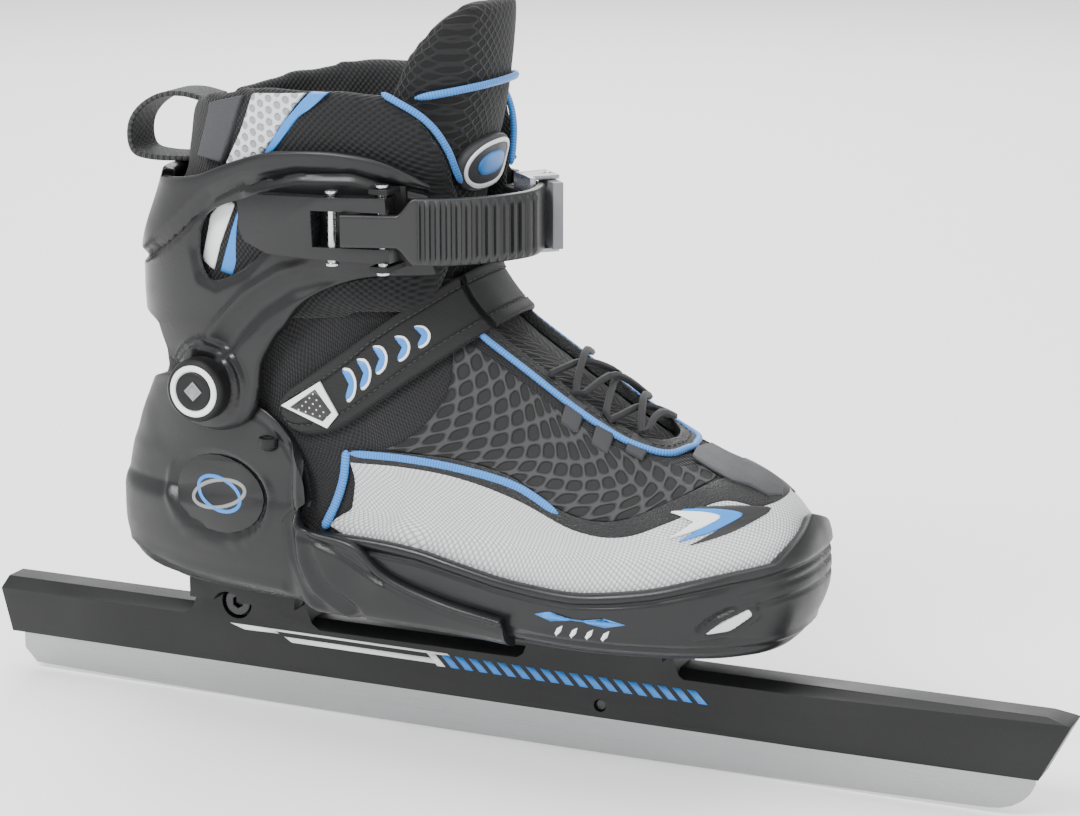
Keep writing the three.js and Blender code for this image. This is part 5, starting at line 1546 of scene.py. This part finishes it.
    def _pivot(self, side: int, word: str) -> None:
        """Turned cap: dark rim, white ring, dark dished centre with a small square mark."""
        centre = np.array([AX, side * 44.0, AZ])
        out = (0, side, 0)
        profile = [(0, -1), (10.9, -1), (10.9, 3.6), (10.5, 5.0), (9.8, 5.7), (8.9, 5.7), (8.5, 5.3),
                   (0, 5.3)]
        cap = lathe(f"pivot_cap_{word}_body", profile, centre, out, FINISH.dark, 64)
        ring = lathe("ring", [(0, 5.2), (9.0, 5.2), (9.0, 5.6), (8.6, 6.2), (7.2, 6.3), (6.9, 5.9),
                              (6.7, 5.5), (0, 5.5)], centre, out, FINISH.white, 64)
        disc = lathe("disc", [(0, 5.3), (6.6, 5.3), (6.6, 6.0), (6.2, 6.3), (4, 5.9), (0, 5.7)],
                     centre, out, FINISH.dark, 64)
        mark = lathe("mark", [(0, 5.6), (3.4, 5.6), (3.4, 6.15), (3.1, 6.3), (2.5, 6.3), (2.4, 6.0),
                              (0, 6.0)], centre, out, FINISH.grey_print, 4)
        sharpen(cap, 40)
        place(join(f"pivot_cap_{word}_turned", [cap, ring, disc, mark]), CUFF, "white_plastic",
              f"pivot_cap_{word}")

    def _marks(self, side: int, word: str) -> None:
        """Double arrow over four drops on the toe shell's side."""
        drops = []
        for i in range(4):
            x = 45.5 + i * 5.4
            rows = [(x, 55.6), (x + 1.6, 57.4), (x + 2.6, 59.9), (x + 0.5, 58.6), (x - 0.6, 56.6)]
            drops.append(inlay(f"drop_{i}", rows, self.toe, FINISH.white_print, 0.3, side, 2))
        arrow = [(38, 62.6), (44, 64.4), (43.5, 63.2), (63.5, 63.2), (63, 64.4), (70, 62.6), (63, 60.9),
                 (63.5, 62.0), (43.5, 62.0), (44, 60.9)]
        drops.append(inlay("arrow", arrow, self.toe, FINISH.blue_print, 0.3, side, 3))
        place(join(f"size_marks_{word}", drops), TOE, "silver_trim")


class Upper:
    """Textile boot: mesh body, silver toe, diamond panel, piping, tabs and lace."""

    def __init__(self) -> None:
        """Draws the throat's edge in form coordinates."""
        throat = FORM.above(curve([(68.5, -3), (66.5, -10), (60, -14.3), (48, -15.6), (34, -15.6),
                                   (18, -15.6), (4, -16)], 30))
        shin = np.array([(12.6, math.pi - 0.40)])
        self.throat = np.vstack([throat, shin])

    def build(self) -> None:
        """Makes every piece."""
        self._body()
        self._silver()
        self._diamond()
        self._piping()
        self._lacing()

    def _body(self) -> None:
        """Air-mesh body open at the throat, from the sole to the ankle."""
        rim = np.array([(12.6, a) for a in np.linspace(math.pi - 0.5, 0.0, 24)])
        right = np.vstack([self.throat, rim])
        path = even(right, 130, 1.0)
        high = np.vstack([path, (path * (1, -1))[::-1][1:]])
        share = np.linspace(0, 1, len(path))
        low_a = (1 - share) * math.pi * 0.998
        low = np.stack([np.full(len(low_a), 0.55), low_a], 1)
        low = np.vstack([low, (low * (1, -1))[::-1][1:]])
        body = band("boot_body", low, high, wall_profile(-2.4, -0.2, 44, 1.0), FINISH.mesh)
        across_slide(body, "black_fabric", "rear_upper", "vamp")

    def _wrap(self, name: str, low: Sequence, high: Sequence, material: bpy.types.Material,
              rise: float, slot: str, count: int = 90, rows: int = 26, close_toe: bool = True,
              base: float = -0.2) -> bpy.types.Object:
        """Overlay between two side-view curves, carried over the toe to the other side."""
        def path(points: Sequence) -> Array:
            """Even form coordinates along a side-view curve, over the toe where asked."""
            right = side_path(points, 80)
            return even(both_sides(right) if close_toe else right, count * (2 if close_toe else 1), 0)
        made = band(name, path(low), path(high), wall_profile(base - 0.6, base + rise, rows, 0.6), material)
        return across_slide(made, slot)

    def _silver(self) -> None:
        """Silver woven toe with a black band above it and a blue stripe at its rear."""
        low = [(-41, 81), (-28, 75), (-8, 68), (24, 64), (52, 63), (80, 66), (100, 70), (113, 74)]
        high = [(-33, 105), (-12, 105.5), (8, 104), (30, 99), (50, 92), (66, 91), (80, 96),
                (93, 101.5), (104, 99)]
        self._wrap("silver_toe", low, high, FINISH.silver, 0.7, "silver_fabric")
        top = [(-33, 108.5), (-12, 109.5), (8, 109), (26, 105.5), (40, 98.5), (54, 94.6),
               (66, 95.5), (79, 101), (90, 105.5), (98.5, 102.8)]
        self._wrap("black_overlay", [(x, z - 1.2) for x, z in high], top, FINISH.leather, 0.9, "black_fabric")
        for side, word in ((False, "right"), (True, "left")):
            strip = side_path([(-34, 108), (-35, 99), (-38, 90), (-43, 80)], 40, 0, side)
            across_slide(piping(f"quarter_piping_{word}", strip, 0.7, 1.6, FINISH.blue, 0.6), "silver_trim")
            line = side_path([(-33, 107), (-12, 107.3), (8, 106), (28, 102.5), (44, 95.5)], 40, 0, side)
            across_slide(piping(f"side_stripe_{word}", line, 0.8, 1.3, FINISH.blue, 0.35), "silver_trim")
            self._chevrons(side, word)

    def _chevrons(self, left: bool, word: str) -> None:
        """Three nested swept arrowheads in black, blue and white."""
        pieces = []
        for i, (dx, finish) in enumerate(((0.0, FINISH.black_print), (-5.0, FINISH.blue_print),
                                          (-9.5, FINISH.white_print))):
            s = 1 - 0.14 * i
            rows = [(107, 97.5), (98, 99.6), (86, 99.5), (96, 96.8), (98.5, 95.2), (96, 92.5), (87, 88.6),
                    (97, 91.5), (103.5, 94.6)]
            rows = [(97 + dx + (x - 97) * s, 95 + (z - 95) * s) for x, z in rows]
            outline = even(FORM.side(curve(rows, 80, True), 0.6, left), 80, 0.6, True)
            pieces.append(patch(f"chevron_{i}", outline, 0.5, 0.35 + 0.22 * i, finish, 6, 0.4, 0.8))
        place(join(f"toe_chevrons_{word}", pieces), TOE, "silver_trim")

    def _diamond(self) -> None:
        """Open diamond-mesh panels beside the throat."""
        low = [(-20, 110), (8, 109), (26, 105.5), (40, 98.5), (54, 94.6), (66, 95.5), (79, 101),
               (88, 106)]
        right_low = side_path(low, 60)
        edge = FORM.above(curve([(-2, -23), (12, -22), (34, -22), (50, -21.5), (64, -20), (76, -15),
                                 (82, -9)], 60))
        for sign, word in ((1, "right"), (-1, "left")):
            a, b = even(right_low, 70, 0), even(edge, 70, 0)
            if sign < 0:
                a, b = mirrored(a), mirrored(b)
            panel = band(f"diamond_panel_{word}", a, b, wall_profile(-0.9, 0.35, 30, 0.4), FINISH.diamond)
            across_slide(panel, "black_fabric")

    def _piping(self) -> None:
        """Blue cord round the throat, and the dark facing inside it."""
        edge = FORM.above(curve([(-3, -19.5), (12, -19), (34, -19), (50, -18.6), (62, -17), (72, -12),
                                 (75.5, 0.0)], 70))
        loop = both_sides(edge)
        across_slide(piping("throat_piping", even(loop, 150, 0), 0.9, 1.15, FINISH.blue), "silver_trim")
        inner = FORM.above(curve([(-3, -13.8), (12, -14.4), (34, -14.6), (50, -14.2), (60, -12.6),
                                  (67, -8), (69.5, 0.0)], 70))
        facing = band("throat_facing", even(both_sides(inner), 150, 0), even(loop, 150, 0),
                      wall_profile(-2.6, 1.0, 12, 0.8), FINISH.leather)
        across_slide(facing, "black_fabric")
        line = FORM.above(curve([(-3, -16.2), (12, -16.6), (34, -16.6), (50, -16.2), (61, -14.6),
                                 (70, -9.5), (72.5, 0.0)], 70))
        across_slide(stitches("throat_stitches", even(both_sides(line), 200, 0), 1.1, FINISH.thread),
                     "black_fabric")

    def _lacing(self) -> None:
        """Lace, webbing tabs and the toe patch."""
        refined("lace", FINISH.lace, 0.3, TOE, "black_fabric", 2)
        for word in ("right", "left"):
            for i in (1, 2, 3):
                refined(f"lace_tab_{word}_{i}", FINISH.grey_webbing, 0.5, TOE, "black_fabric")
        refined("toe_patch", FINISH.grey_rubber, 0.8, TOE, "grey_rubber")


class Collar:
    """Padded collar and tongue, their patches and the pull loop."""

    RIM = [(-3, 180), (-2, 200), (-4, 212), (-9, 221), (-20, 229), (-42, 231), (-64, 229.5),
           (-84, 226), (-96, 222.5)]

    def build(self) -> None:
        """Makes every piece."""
        rim = np.vstack([side_path(self.RIM, 60, 0), [(16.86, 0.5), (16.8, 0.2), (16.78, 0.0)]])
        high = even(rim, 90, 1.0)
        share = np.linspace(0, 1, len(high))
        low = np.stack([np.full(len(high), 11.9), (1 - share) * (math.pi - 0.62)], 1)
        high, low = round_back(high[:-1]), round_back(low[:-1])
        body = band("collar_body", low, high, wall_profile(-4.2, 1.6, 34, 2.6), FINISH.collar,
                    relief=self._pads)
        across_ankle(stuffed(body), "black_fabric", "collar")
        self._tongue()
        self._trim()
        self._loop()

    @staticmethod
    def _pads(x: Array, z: Array, y: Array) -> Array:
        """Fuller towards the rim, pinched along a seam below it."""
        return 1.6 * smooth_step(z, 196, 222) - 1.2 * bump(z, 196, 4)

    def _tongue(self) -> None:
        """Upper and lower halves of the padded tongue."""
        edge = np.array([(13.0, 1.0), (14.5, 1.12), (15.8, 1.16), (16.8, 1.08), (17.5, 0.88), (17.9, 0.6),
                         (18.0, 0.3), (18.0, 0.0)])
        right = even(curve(edge * (1, -1) + (0, math.pi), 80), 60, 0)
        high = both_sides(right[:-1])
        low = np.stack([np.full(len(high), 12.5), np.linspace(math.pi - 0.85, math.pi + 0.85, len(high))], 1)
        upper = band("tongue_upper_body", low, high, wall_profile(-10.0, -3.0, 40, 3.2), FINISH.tongue)
        across_ankle(stuffed(upper), "black_fabric", "tongue_upper")
        count = 40
        a = np.linspace(math.pi - 0.62, math.pi + 0.62, count)
        low = np.stack([np.full(count, 7.6), math.pi + (a - math.pi) * 0.6], 1)
        high = np.stack([np.full(count, 12.4), a], 1)
        lower = band("tongue_lower_body", low, high, wall_profile(-6.5, -2.6, 30, 1.6), FINISH.tongue)
        place(stuffed(lower, 3, 4.0, 1.5), ROOT, "black_fabric", "tongue_lower")

    def _trim(self) -> None:
        """Piping on the collar's front edges, patches on its sides and the tongue's badge."""
        front = side_path([(-2.2, 199), (-4.2, 212), (-9.5, 221.5), (-21, 229.5)], 50)
        w = np.linspace(0, 2 * math.pi, 49)[:-1]
        badge = np.stack([14.75 + 0.52 * np.sin(w), math.pi + 0.42 * np.cos(w)], 1)
        place(patch("tongue_badge", badge, -1.6, 1.5, FINISH.grey_rubber, 12, 1.6, 3.0), CUFF, "grey_rubber")
        place(piping("tongue_badge_ring", (badge - badge.mean(0)) * 0.8 + badge.mean(0), 0.1, 0.8,
                     FINISH.white, 0.6, True), CUFF, "silver_trim")
        place(patch("tongue_badge_mark", (badge - badge.mean(0)) * 0.42 + badge.mean(0), -0.1, 0.6,
                    FINISH.blue_print, 6, 0.6, 1.5), CUFF, "silver_trim")
        line = np.stack([np.full(60, 16.35), math.pi + np.linspace(-0.95, 0.95, 60)], 1)
        place(piping("tongue_line", line, -1.5, 1.3, FINISH.blue, 0.8), CUFF, "silver_trim")
        for sign, word in ((1, "right"), (-1, "left")):
            path = front if sign > 0 else mirrored(front)
            place(piping(f"collar_piping_{word}", path, 2.6, 1.2, FINISH.blue), CUFF, "silver_trim")
            left = sign < 0
            for tag, rows, finish, rise in (
                    ("rubber", [(-90, 203), (-84, 222), (-69, 226), (-74, 214), (-79, 202)],
                     FINISH.grey_rubber, 1.3),
                    ("honeycomb", [(-77, 202), (-71, 213), (-65, 227), (-45, 228.5), (-53, 219),
                                   (-61, 208), (-68, 201)], FINISH.honeycomb, 1.1),
                    ("stripe", [(-43, 229), (-37, 229), (-48, 220), (-58, 208), (-62, 206), (-53, 219)],
                     FINISH.blue_print, 1.0)):
                outline = FORM.side(curve(rows, 70, True, True), 2, left)
                made = patch(f"collar_{tag}_{word}", outline, 3.0, rise, finish, 12, 0.9, 2.6)
                place(made, CUFF, "silver_trim")

    def _loop(self) -> None:
        """Webbing pull loop behind the collar."""
        outer = [(-103, 219), (-112, 220.5), (-121, 219.5), (-129, 215), (-133.5, 209), (-134.2, 202),
                 (-131.5, 197.3), (-124, 196), (-114, 196.3), (-104, 197)]
        path = curve(outer, 70)
        step = np.gradient(path, axis=0)
        out = np.stack([-step[:, 1], np.zeros(len(path)), step[:, 0]], 1)
        place3 = np.stack([path[:, 0], np.zeros(len(path)), path[:, 1]], 1)
        loop = sweep("pull_loop_webbing", place3, out, strap_profile(8, 1.7, 0.5, 0.1), FINISH.webbing)
        place(loop, CUFF, "black_fabric", "pull_loop")


@dataclass(frozen=True)
class CuffSizes:
    """Side-view outlines of the cuff, in millimetres."""

    low: tuple = ((-6, 168), (-22, 168), (-38, 164), (-49.5, 156.5), (-58.5, 145.5), (-64, 136), (-65.5, 127),
                  (-68, 119), (-74, 113.5), (-83, 110.5), (-92, 111), (-99, 115.5), (-103, 127),
                  (-104, 138), (-108, 143.5))
    high: tuple = ((-6, 200), (-19, 207.5), (-32, 210), (-46, 210), (-58, 208.5), (-68, 205.5),
                   (-76, 202.5), (-82, 200), (-87, 198), (-92, 196.8), (-96, 196), (-100, 195.3),
                   (-103, 194.8), (-105.5, 194.5), (-108, 194.3))
    back: tuple = (145.0, 194.0)
    window: tuple = ((-89, 174), (-85, 185), (-70, 191.5), (-65.5, 189), (-61, 177), (-70, 168),
                     (-81, 163), (-87, 165))
    groove: tuple = ((-130, 163), (-117, 166), (-106, 172), (-98, 178), (-82, 191), (-68, 197),
                     (-47, 202), (-28, 202.5), (-5, 196))
    ridge: tuple = ((-93, 132), (-87, 141), (-78, 151), (-69, 160), (-55, 169), (-41, 173), (-26, 174))
    strap_ribs: int = 13
    rib_pitch: float = 3.15


class Cuff:
    """Hinged hard cuff with its buckle, ladder strap and clip."""

    def __init__(self, sizes: CuffSizes) -> None:
        """Keeps the sizes."""
        self.sizes = sizes

    def build(self) -> None:
        """Makes every piece."""
        self._shell()
        self._window()
        self._rounded(
            ("buckle_base", FINISH.dark, 0.5, CUFF, "black_plastic"),
            ("buckle_hinge_pin", FINISH.steel, 0.4, CUFF, "bright_steel"),
            ("buckle_lever", FINISH.lever, 0.9, "lever", "black_plastic"),
            ("lever_strap_pin", FINISH.steel, 0.4, "lever", "bright_steel"))
        self._ladder()
        self._rounded(
            ("clip_carrier", FINISH.dark, 0.5, CUFF, "black_plastic"),
            ("clip_rivet", FINISH.steel, 0.4, CUFF, "bright_steel"),
            ("clip_housing", FINISH.clip, 0.5, CUFF, "bright_steel"),
            ("clip_pin", FINISH.steel, 0.3, CUFF, "bright_steel"),
            ("clip_lever", FINISH.clip_lever, 0.5, "clip", "grey_rubber"))

    @staticmethod
    def _rounded(*rows: tuple) -> None:
        """Rounded copies of CAD nodes, from rows of node, finish, bevel, body and slot."""
        for row in rows:
            refined(*row)

    def _relief(self, x: Array, z: Array, y: Array) -> Array:
        """Raised rim over a groove, a swept ridge with a hollow under it, pivot shoulders, bezel."""
        sizes = self.sizes
        groove = distance_to_path(x, z, sizes.groove)
        above = z - np.interp(x, *np.array(sizes.groove).T) > 0
        side = smooth_step(np.abs(y), 22, 34)
        rise = 1.0 * smooth_step(groove, 0.8, 3.0) * above - 1.3 * bump(groove, 0, 2.4)
        ridge = distance_to_path(x, z, sizes.ridge)
        under = z - np.interp(x, *np.array(sizes.ridge).T) < 0
        rise += side * (1.1 * bump(ridge, 0, 2.6) - 1.7 * under * bump(ridge, 6.5, 5.5))
        r = np.hypot(x - AX, z - AZ)
        rise += 1.0 * (1 - smooth_step(r, 15.5, 17)) + 1.0 * (1 - smooth_step(r, 12.4, 13.4))
        window = distance_to_path(x, z, sizes.window + sizes.window[:1])
        front = smooth_step(x, -52, -42) * (1 - smooth_step(z, 176, 190))
        rise = rise - front * np.maximum(rise + 0.2, 0)
        return rise - 1.3 * side * (1 - smooth_step(window, 0.5, 4.0))

    def _shell(self) -> None:
        """Cuff wall between its lower edge and its rim, with an egg-shaped window on each side."""
        rear_t = np.interp(self.sizes.back, FORM.rear[:, 1], np.arange(len(FORM.rear)))
        station = np.linspace(0, len(self.sizes.low) + 2, 180)
        turn = (0.5, 0.22, 0.0)
        low = np.vstack([FORM.side(self.sizes.low, 6), [(rear_t[0], a) for a in turn]])
        high = np.vstack([FORM.side(self.sizes.high, 6), [(rear_t[1], a) for a in turn]])
        low, high = spline(low, station), spline(high, station)
        shell = band("cuff_moulding", round_back(low[:-1]), round_back(high[:-1]),
                     wall_profile(4.5, 7.7, 56, 1.4), FINISH.cuff, self._relief)
        outline = curve(self.sizes.window, 60, True)
        for side in (-1, 1):
            ends = [np.column_stack([outline[:, 0], np.full(60, side * y), outline[:, 1]])
                    for y in (20.0, 60.0)]
            faces = grid_faces(2, 60, wrap_columns=True).tolist() + [list(range(60)),
                                                                    list(range(119, 59, -1))]
            cut(shell, make_mesh("window_cutter", np.vstack(ends), faces, FINISH.cuff))
        shell.data.polygons.foreach_set("use_smooth", [True] * len(shell.data.polygons))
        sharpen(shell, 45)
        place(shell, CUFF, "black_plastic", "cuff_shell")

    def _window(self) -> None:
        """Printed slanting stripes behind each window."""
        for left, word in ((False, "right"), (True, "left")):
            for tag, rows, finish, rise in (
                    ("white", [(-90, 168), (-86, 184), (-80, 190), (-75, 189), (-82, 174), (-85, 165)],
                     FINISH.white_print, 0.5),
                    ("blue", [(-82, 165), (-77, 180), (-72, 191), (-66, 191), (-71, 178), (-77, 164)],
                     FINISH.blue_print, 0.5)):
                outline = FORM.side(curve(rows, 40, True, True), 2, left)
                place(patch(f"window_{tag}_{word}", outline, 1.8, rise, finish, 6, 0.5, 1.5), CUFF,
                      "silver_trim")

    def _ladder(self) -> None:
        """Ladder strap: narrow tongue at the lever, then a wide run with raised ribs."""
        pin, hinge = SIZES.strap_pin, SIZES.hinge
        bends = [(4.5 + pin[0], pin[1] - 2.4), (hinge[0], hinge[1] - 2.1)]
        bends += [(hinge[0] + dx, hinge[1] + dy) for dx, dy in
                  ((8, 0.6), (19, 5), (28, 12), (34.5, 21.5), (38, 31))]
        angle = np.radians(np.linspace(41, 53, 5))
        bends += [(pin[0] + 70 * math.cos(a), pin[1] + 70 * math.sin(a)) for a in angle]
        flat = curve(bends, 420)
        path = np.column_stack([flat, np.full(len(flat), pin[2])])
        step = np.gradient(flat, axis=0)
        out = np.column_stack([step[:, 1], -step[:, 0], np.zeros(len(flat))])
        run = arc(flat)
        half = 5.4 + 5.6 * smooth_step(flat[:, 0], hinge[0] + 5, hinge[0] + 11)
        half[run > 50] = 11.0
        start = float(np.interp(hinge[0] + 12, flat[:200, 0], run[:200]))
        phase = (run - start) / self.sizes.rib_pitch
        tooth = smooth_step(np.abs((phase % 1) - 0.5), 0.18, 0.34)
        tooth *= (phase > 0) & (phase < self.sizes.strap_ribs)
        sections = []
        for h, rise in zip(half, tooth * 1.15):
            section = strap_profile(h, 2.4, 0.7, 0.0, 0.0, 16)
            raised = (np.abs(section[:, 0]) < h - 1.6) & (section[:, 1] > 2.3)
            section[:, 1] += rise * raised
            sections.append(section)
        strap = sweep("ladder_strap_ribbed", path, out, np.array(sections), FINISH.strap_plastic)
        sharpen(strap, 50)
        place(strap, "strap", "black_plastic", "ladder_strap")


@dataclass(frozen=True)
class PowerSizes:
    """The instep strap's line and width in the side view, in millimetres."""

    middle: tuple = (-19.5, 140.5)
    angle: float = 37.0
    half: float = 10.5
    flap_y: float = -17.0
    base_y: float = -14.8


class PowerStrap:
    """Instep strap with its flap, bound border, badge and crescents."""

    def __init__(self, sizes: PowerSizes) -> None:
        """Keeps the sizes."""
        self.sizes = sizes

    def _line(self, points: Sequence) -> Array:
        """Side-view places of points given along and across the strap."""
        s, n = np.asarray(points, float).T
        c, d = math.cos(math.radians(self.sizes.angle)), math.sin(math.radians(self.sizes.angle))
        return np.stack([self.sizes.middle[0] + s * c - n * d, self.sizes.middle[1] + s * d + n * c], 1)

    def _edges(self) -> tuple[Array, Array]:
        """Lower and upper edges from the flap's tip over the instep to the left side."""
        low = [(-44, 3), (-43.8, -1), (-41, -4.5), (-36, -7.5), (-30, -9.6), (-22, -10.5), (-10, -10.5),
               (5, -10.5), (20, -10.5), (35, -10.5), (50, -10.5), (66, -10.5)]
        high = [(-44, 5.5), (-43, 7.6), (-40, 9.2), (-36, 10.1), (-30, 10.0), (-22, 9.9), (-10, 9.9),
                (5, 10.5), (20, 10.5), (35, 10.5), (50, 10.5), (66, 10.5)]
        edges = []
        for rows in (low, high):
            ta = FORM.side(curve(self._line(rows), 400), 1)
            ta = ta[ta[:, 1] < math.pi - 0.02]
            end = ta[-1] + (ta[-1] - ta[-2])
            ta = np.vstack([ta, [(end[0], math.pi)]])
            edges.append(ta)
        whole = [both_sides(even(e, 170, 1)) for e in edges]
        keep = np.ones(340, bool)
        keep[170] = False
        return whole[0][keep], whole[1][keep]

    def build(self) -> None:
        """Makes every piece."""
        low, high = self._edges()
        y = (FORM.point(low[:, 0], low[:, 1], 2)[:, 1] + FORM.point(high[:, 0], high[:, 1], 2)[:, 1]) / 2
        self.flap = self._half("strap_flap", low[y < self.sizes.flap_y], high[y < self.sizes.flap_y])
        place(self.flap, "power_flap", "black_fabric", "power_strap_flap")
        base = self._half("strap_base", low[y > self.sizes.base_y], high[y > self.sizes.base_y])
        place(base, ROOT, "black_fabric", "power_strap_base")
        self._marks()

    def _half(self, name: str, low: Array, high: Array) -> bpy.types.Object:
        """Padded strap with a bound border and stitching."""
        profile = wall_profile(0.5, 2.7, 50, 1.1)
        rim = 1 - smooth_step(np.minimum(profile[:, 0], 1 - profile[:, 0]), 0.11, 0.15)
        line = bump(np.minimum(profile[:, 0], 1 - profile[:, 0]), 0.155, 0.03)
        pad = np.sin(np.clip(profile[:, 0], 0, 1) * math.pi) * 0.5
        profile[:, 2] += profile[:, 3] * (0.5 * rim - 0.5 * line + pad * (1 - rim))
        strap = band(name, low, high, profile, FINISH.strap)
        rows = []
        for f in (0.17, 0.83):
            ta = low + (high - low) * f
            rows.append(stitches("row", even(ta, 200, 3), 3.15, FINISH.thread, 2.4, 1.6, 0.24))
        return join(name, [strap, *rows])

    def _marks(self) -> None:
        """Triangular badge with raised dots, and five crescents."""
        badge = refined("strap_badge", FINISH.white, 0.4, "power_flap", "silver_trim")
        dark = inlay("badge_field", [(-54, 121.8), (-44.6, 128.8), (-38.2, 121.6), (-41.5, 118.2)], badge,
                     FINISH.black_print, 0.45)
        dots = []
        for i in range(5):
            for j in range(5 - i):
                x, z = -50.5 + i * 2.7 + j * 1.35, 121.4 - i * 0.45 + j * 1.45
                w = np.linspace(0, 2 * math.pi, 7)[:-1]
                rows = np.stack([x + 0.5 * np.cos(w), z + 0.5 * np.sin(w)], 1)
                dots.append(inlay("dot", rows, badge, FINISH.white_print, 0.75, rings=1))
        pieces = [dark, *dots]
        for i, (x, z) in enumerate(((-33, 131), (-28, 135), (-23, 140), (-16, 144), (-10, 148))):
            h = 4.9 - 0.45 * i
            shape = np.array([(-2.2, h), (0.6, h * 1.02), (2.6, h * 0.35), (2.4, -h * 0.5), (0.6, -h),
                              (-0.4, -h * 0.8), (0.8, 0), (0.2, h * 0.6)])
            pieces.append(inlay(f"crescent_edge_{i}", curve((x, z) + shape * 1.12 + (0.25, -0.1), 30, True),
                                self.flap, FINISH.white_print, 0.25))
            pieces.append(inlay(f"crescent_{i}", curve((x, z) + shape, 30, True), self.flap,
                                FINISH.blue_print, 0.4))
        place(join("strap_marks", pieces), "power_flap", "silver_trim")


@dataclass(frozen=True)
class StudioSizes:
    """Places in metres, angles in degrees, lens in millimetres and light power in watts."""

    floor_half: float = 6.0
    floor_drop: float = 0.0005
    floor_tone: float = 0.97
    surround: float = 1.1
    lights: tuple = (("key", (-0.6, -1.7, 1.9), 1.0, 78), ("fill", (1.7, -1.2, 0.9), 1.6, 16),
                     ("top", (0.1, 0.3, 2.2), 1.8, 34), ("rim", (-0.7, 1.6, 1.2), 1.2, 22))
    aim: tuple = (0, 0, 0.12)
    azimuth: float = 24.0
    elevation: float = 14.0
    distance: float = 1.0616
    target: tuple = (0.0197, 0, 0.1197)
    lens: float = 104.7


class Studio:
    """Floor, lights and camera."""

    def __init__(self, sizes: StudioSizes) -> None:
        """Keeps the sizes."""
        self.sizes = sizes

    def build(self) -> None:
        """Makes the floor, four soft lights, the surround and the camera."""
        self._floor()
        for light in self.sizes.lights:
            self._light(*light)
        world = bpy.data.worlds.new("surround")
        world.use_nodes = True
        background = world.node_tree.nodes["Background"]
        background.inputs["Color"].default_value = (1, 1, 1, 1)
        background.inputs["Strength"].default_value = self.sizes.surround
        bpy.context.scene.world = world
        self._camera()

    def _floor(self) -> None:
        """Plain pale square under the blade."""
        half, tone = self.sizes.floor_half, self.sizes.floor_tone
        corners = [(-half, -half, 0), (half, -half, 0), (half, half, 0), (-half, half, 0)]
        mesh = bpy.data.meshes.new("floor")
        mesh.from_pydata(corners, [], [(0, 1, 2, 3)])
        paint = bpy.data.materials.new("pale_floor")
        paint.use_nodes = True
        shader = paint.node_tree.nodes["Principled BSDF"]
        shader.inputs["Base Color"].default_value = (tone, tone, tone, 1)
        shader.inputs["Roughness"].default_value = 0.7
        mesh.materials.append(paint)
        floor = bpy.data.objects.new("floor", mesh)
        floor.location = (0, 0, -self.sizes.floor_drop)
        bpy.context.scene.collection.objects.link(floor)

    def _light(self, name: str, where: Sequence, size: float, power: float) -> None:
        """Square area light aimed at the boot."""
        data = bpy.data.lights.new(name, "AREA")
        data.size, data.energy = size, power
        light = bpy.data.objects.new(name, data)
        light.location = where
        aim = Vector(self.sizes.aim) - Vector(where)
        light.rotation_euler = aim.to_track_quat("-Z", "Y").to_euler()
        bpy.context.scene.collection.objects.link(light)

    def _camera(self) -> None:
        """Camera low on the right side, ahead of the toe."""
        sizes = self.sizes
        data = bpy.data.cameras.new("view")
        data.lens, data.sensor_width = sizes.lens, 36
        camera = bpy.data.objects.new("view", data)
        azimuth, elevation = math.radians(sizes.azimuth), math.radians(sizes.elevation)
        way = Vector((math.sin(azimuth) * math.cos(elevation),
                      -math.cos(azimuth) * math.cos(elevation), math.sin(elevation)))
        camera.location = Vector(sizes.target) + way * sizes.distance
        camera.rotation_euler = (-way).to_track_quat("-Z", "Y").to_euler()
        bpy.context.scene.collection.objects.link(camera)
        bpy.context.scene.camera = camera


def main() -> None:
    """Builds the skate and its studio."""
    Frame(FrameSizes()).build()
    Shells(ShellSizes()).build()
    Upper().build()
    Collar().build()
    Cuff(CuffSizes()).build()
    PowerStrap(PowerSizes()).build()
    Studio(StudioSizes()).build()


if __name__ == "__main__":
    main()
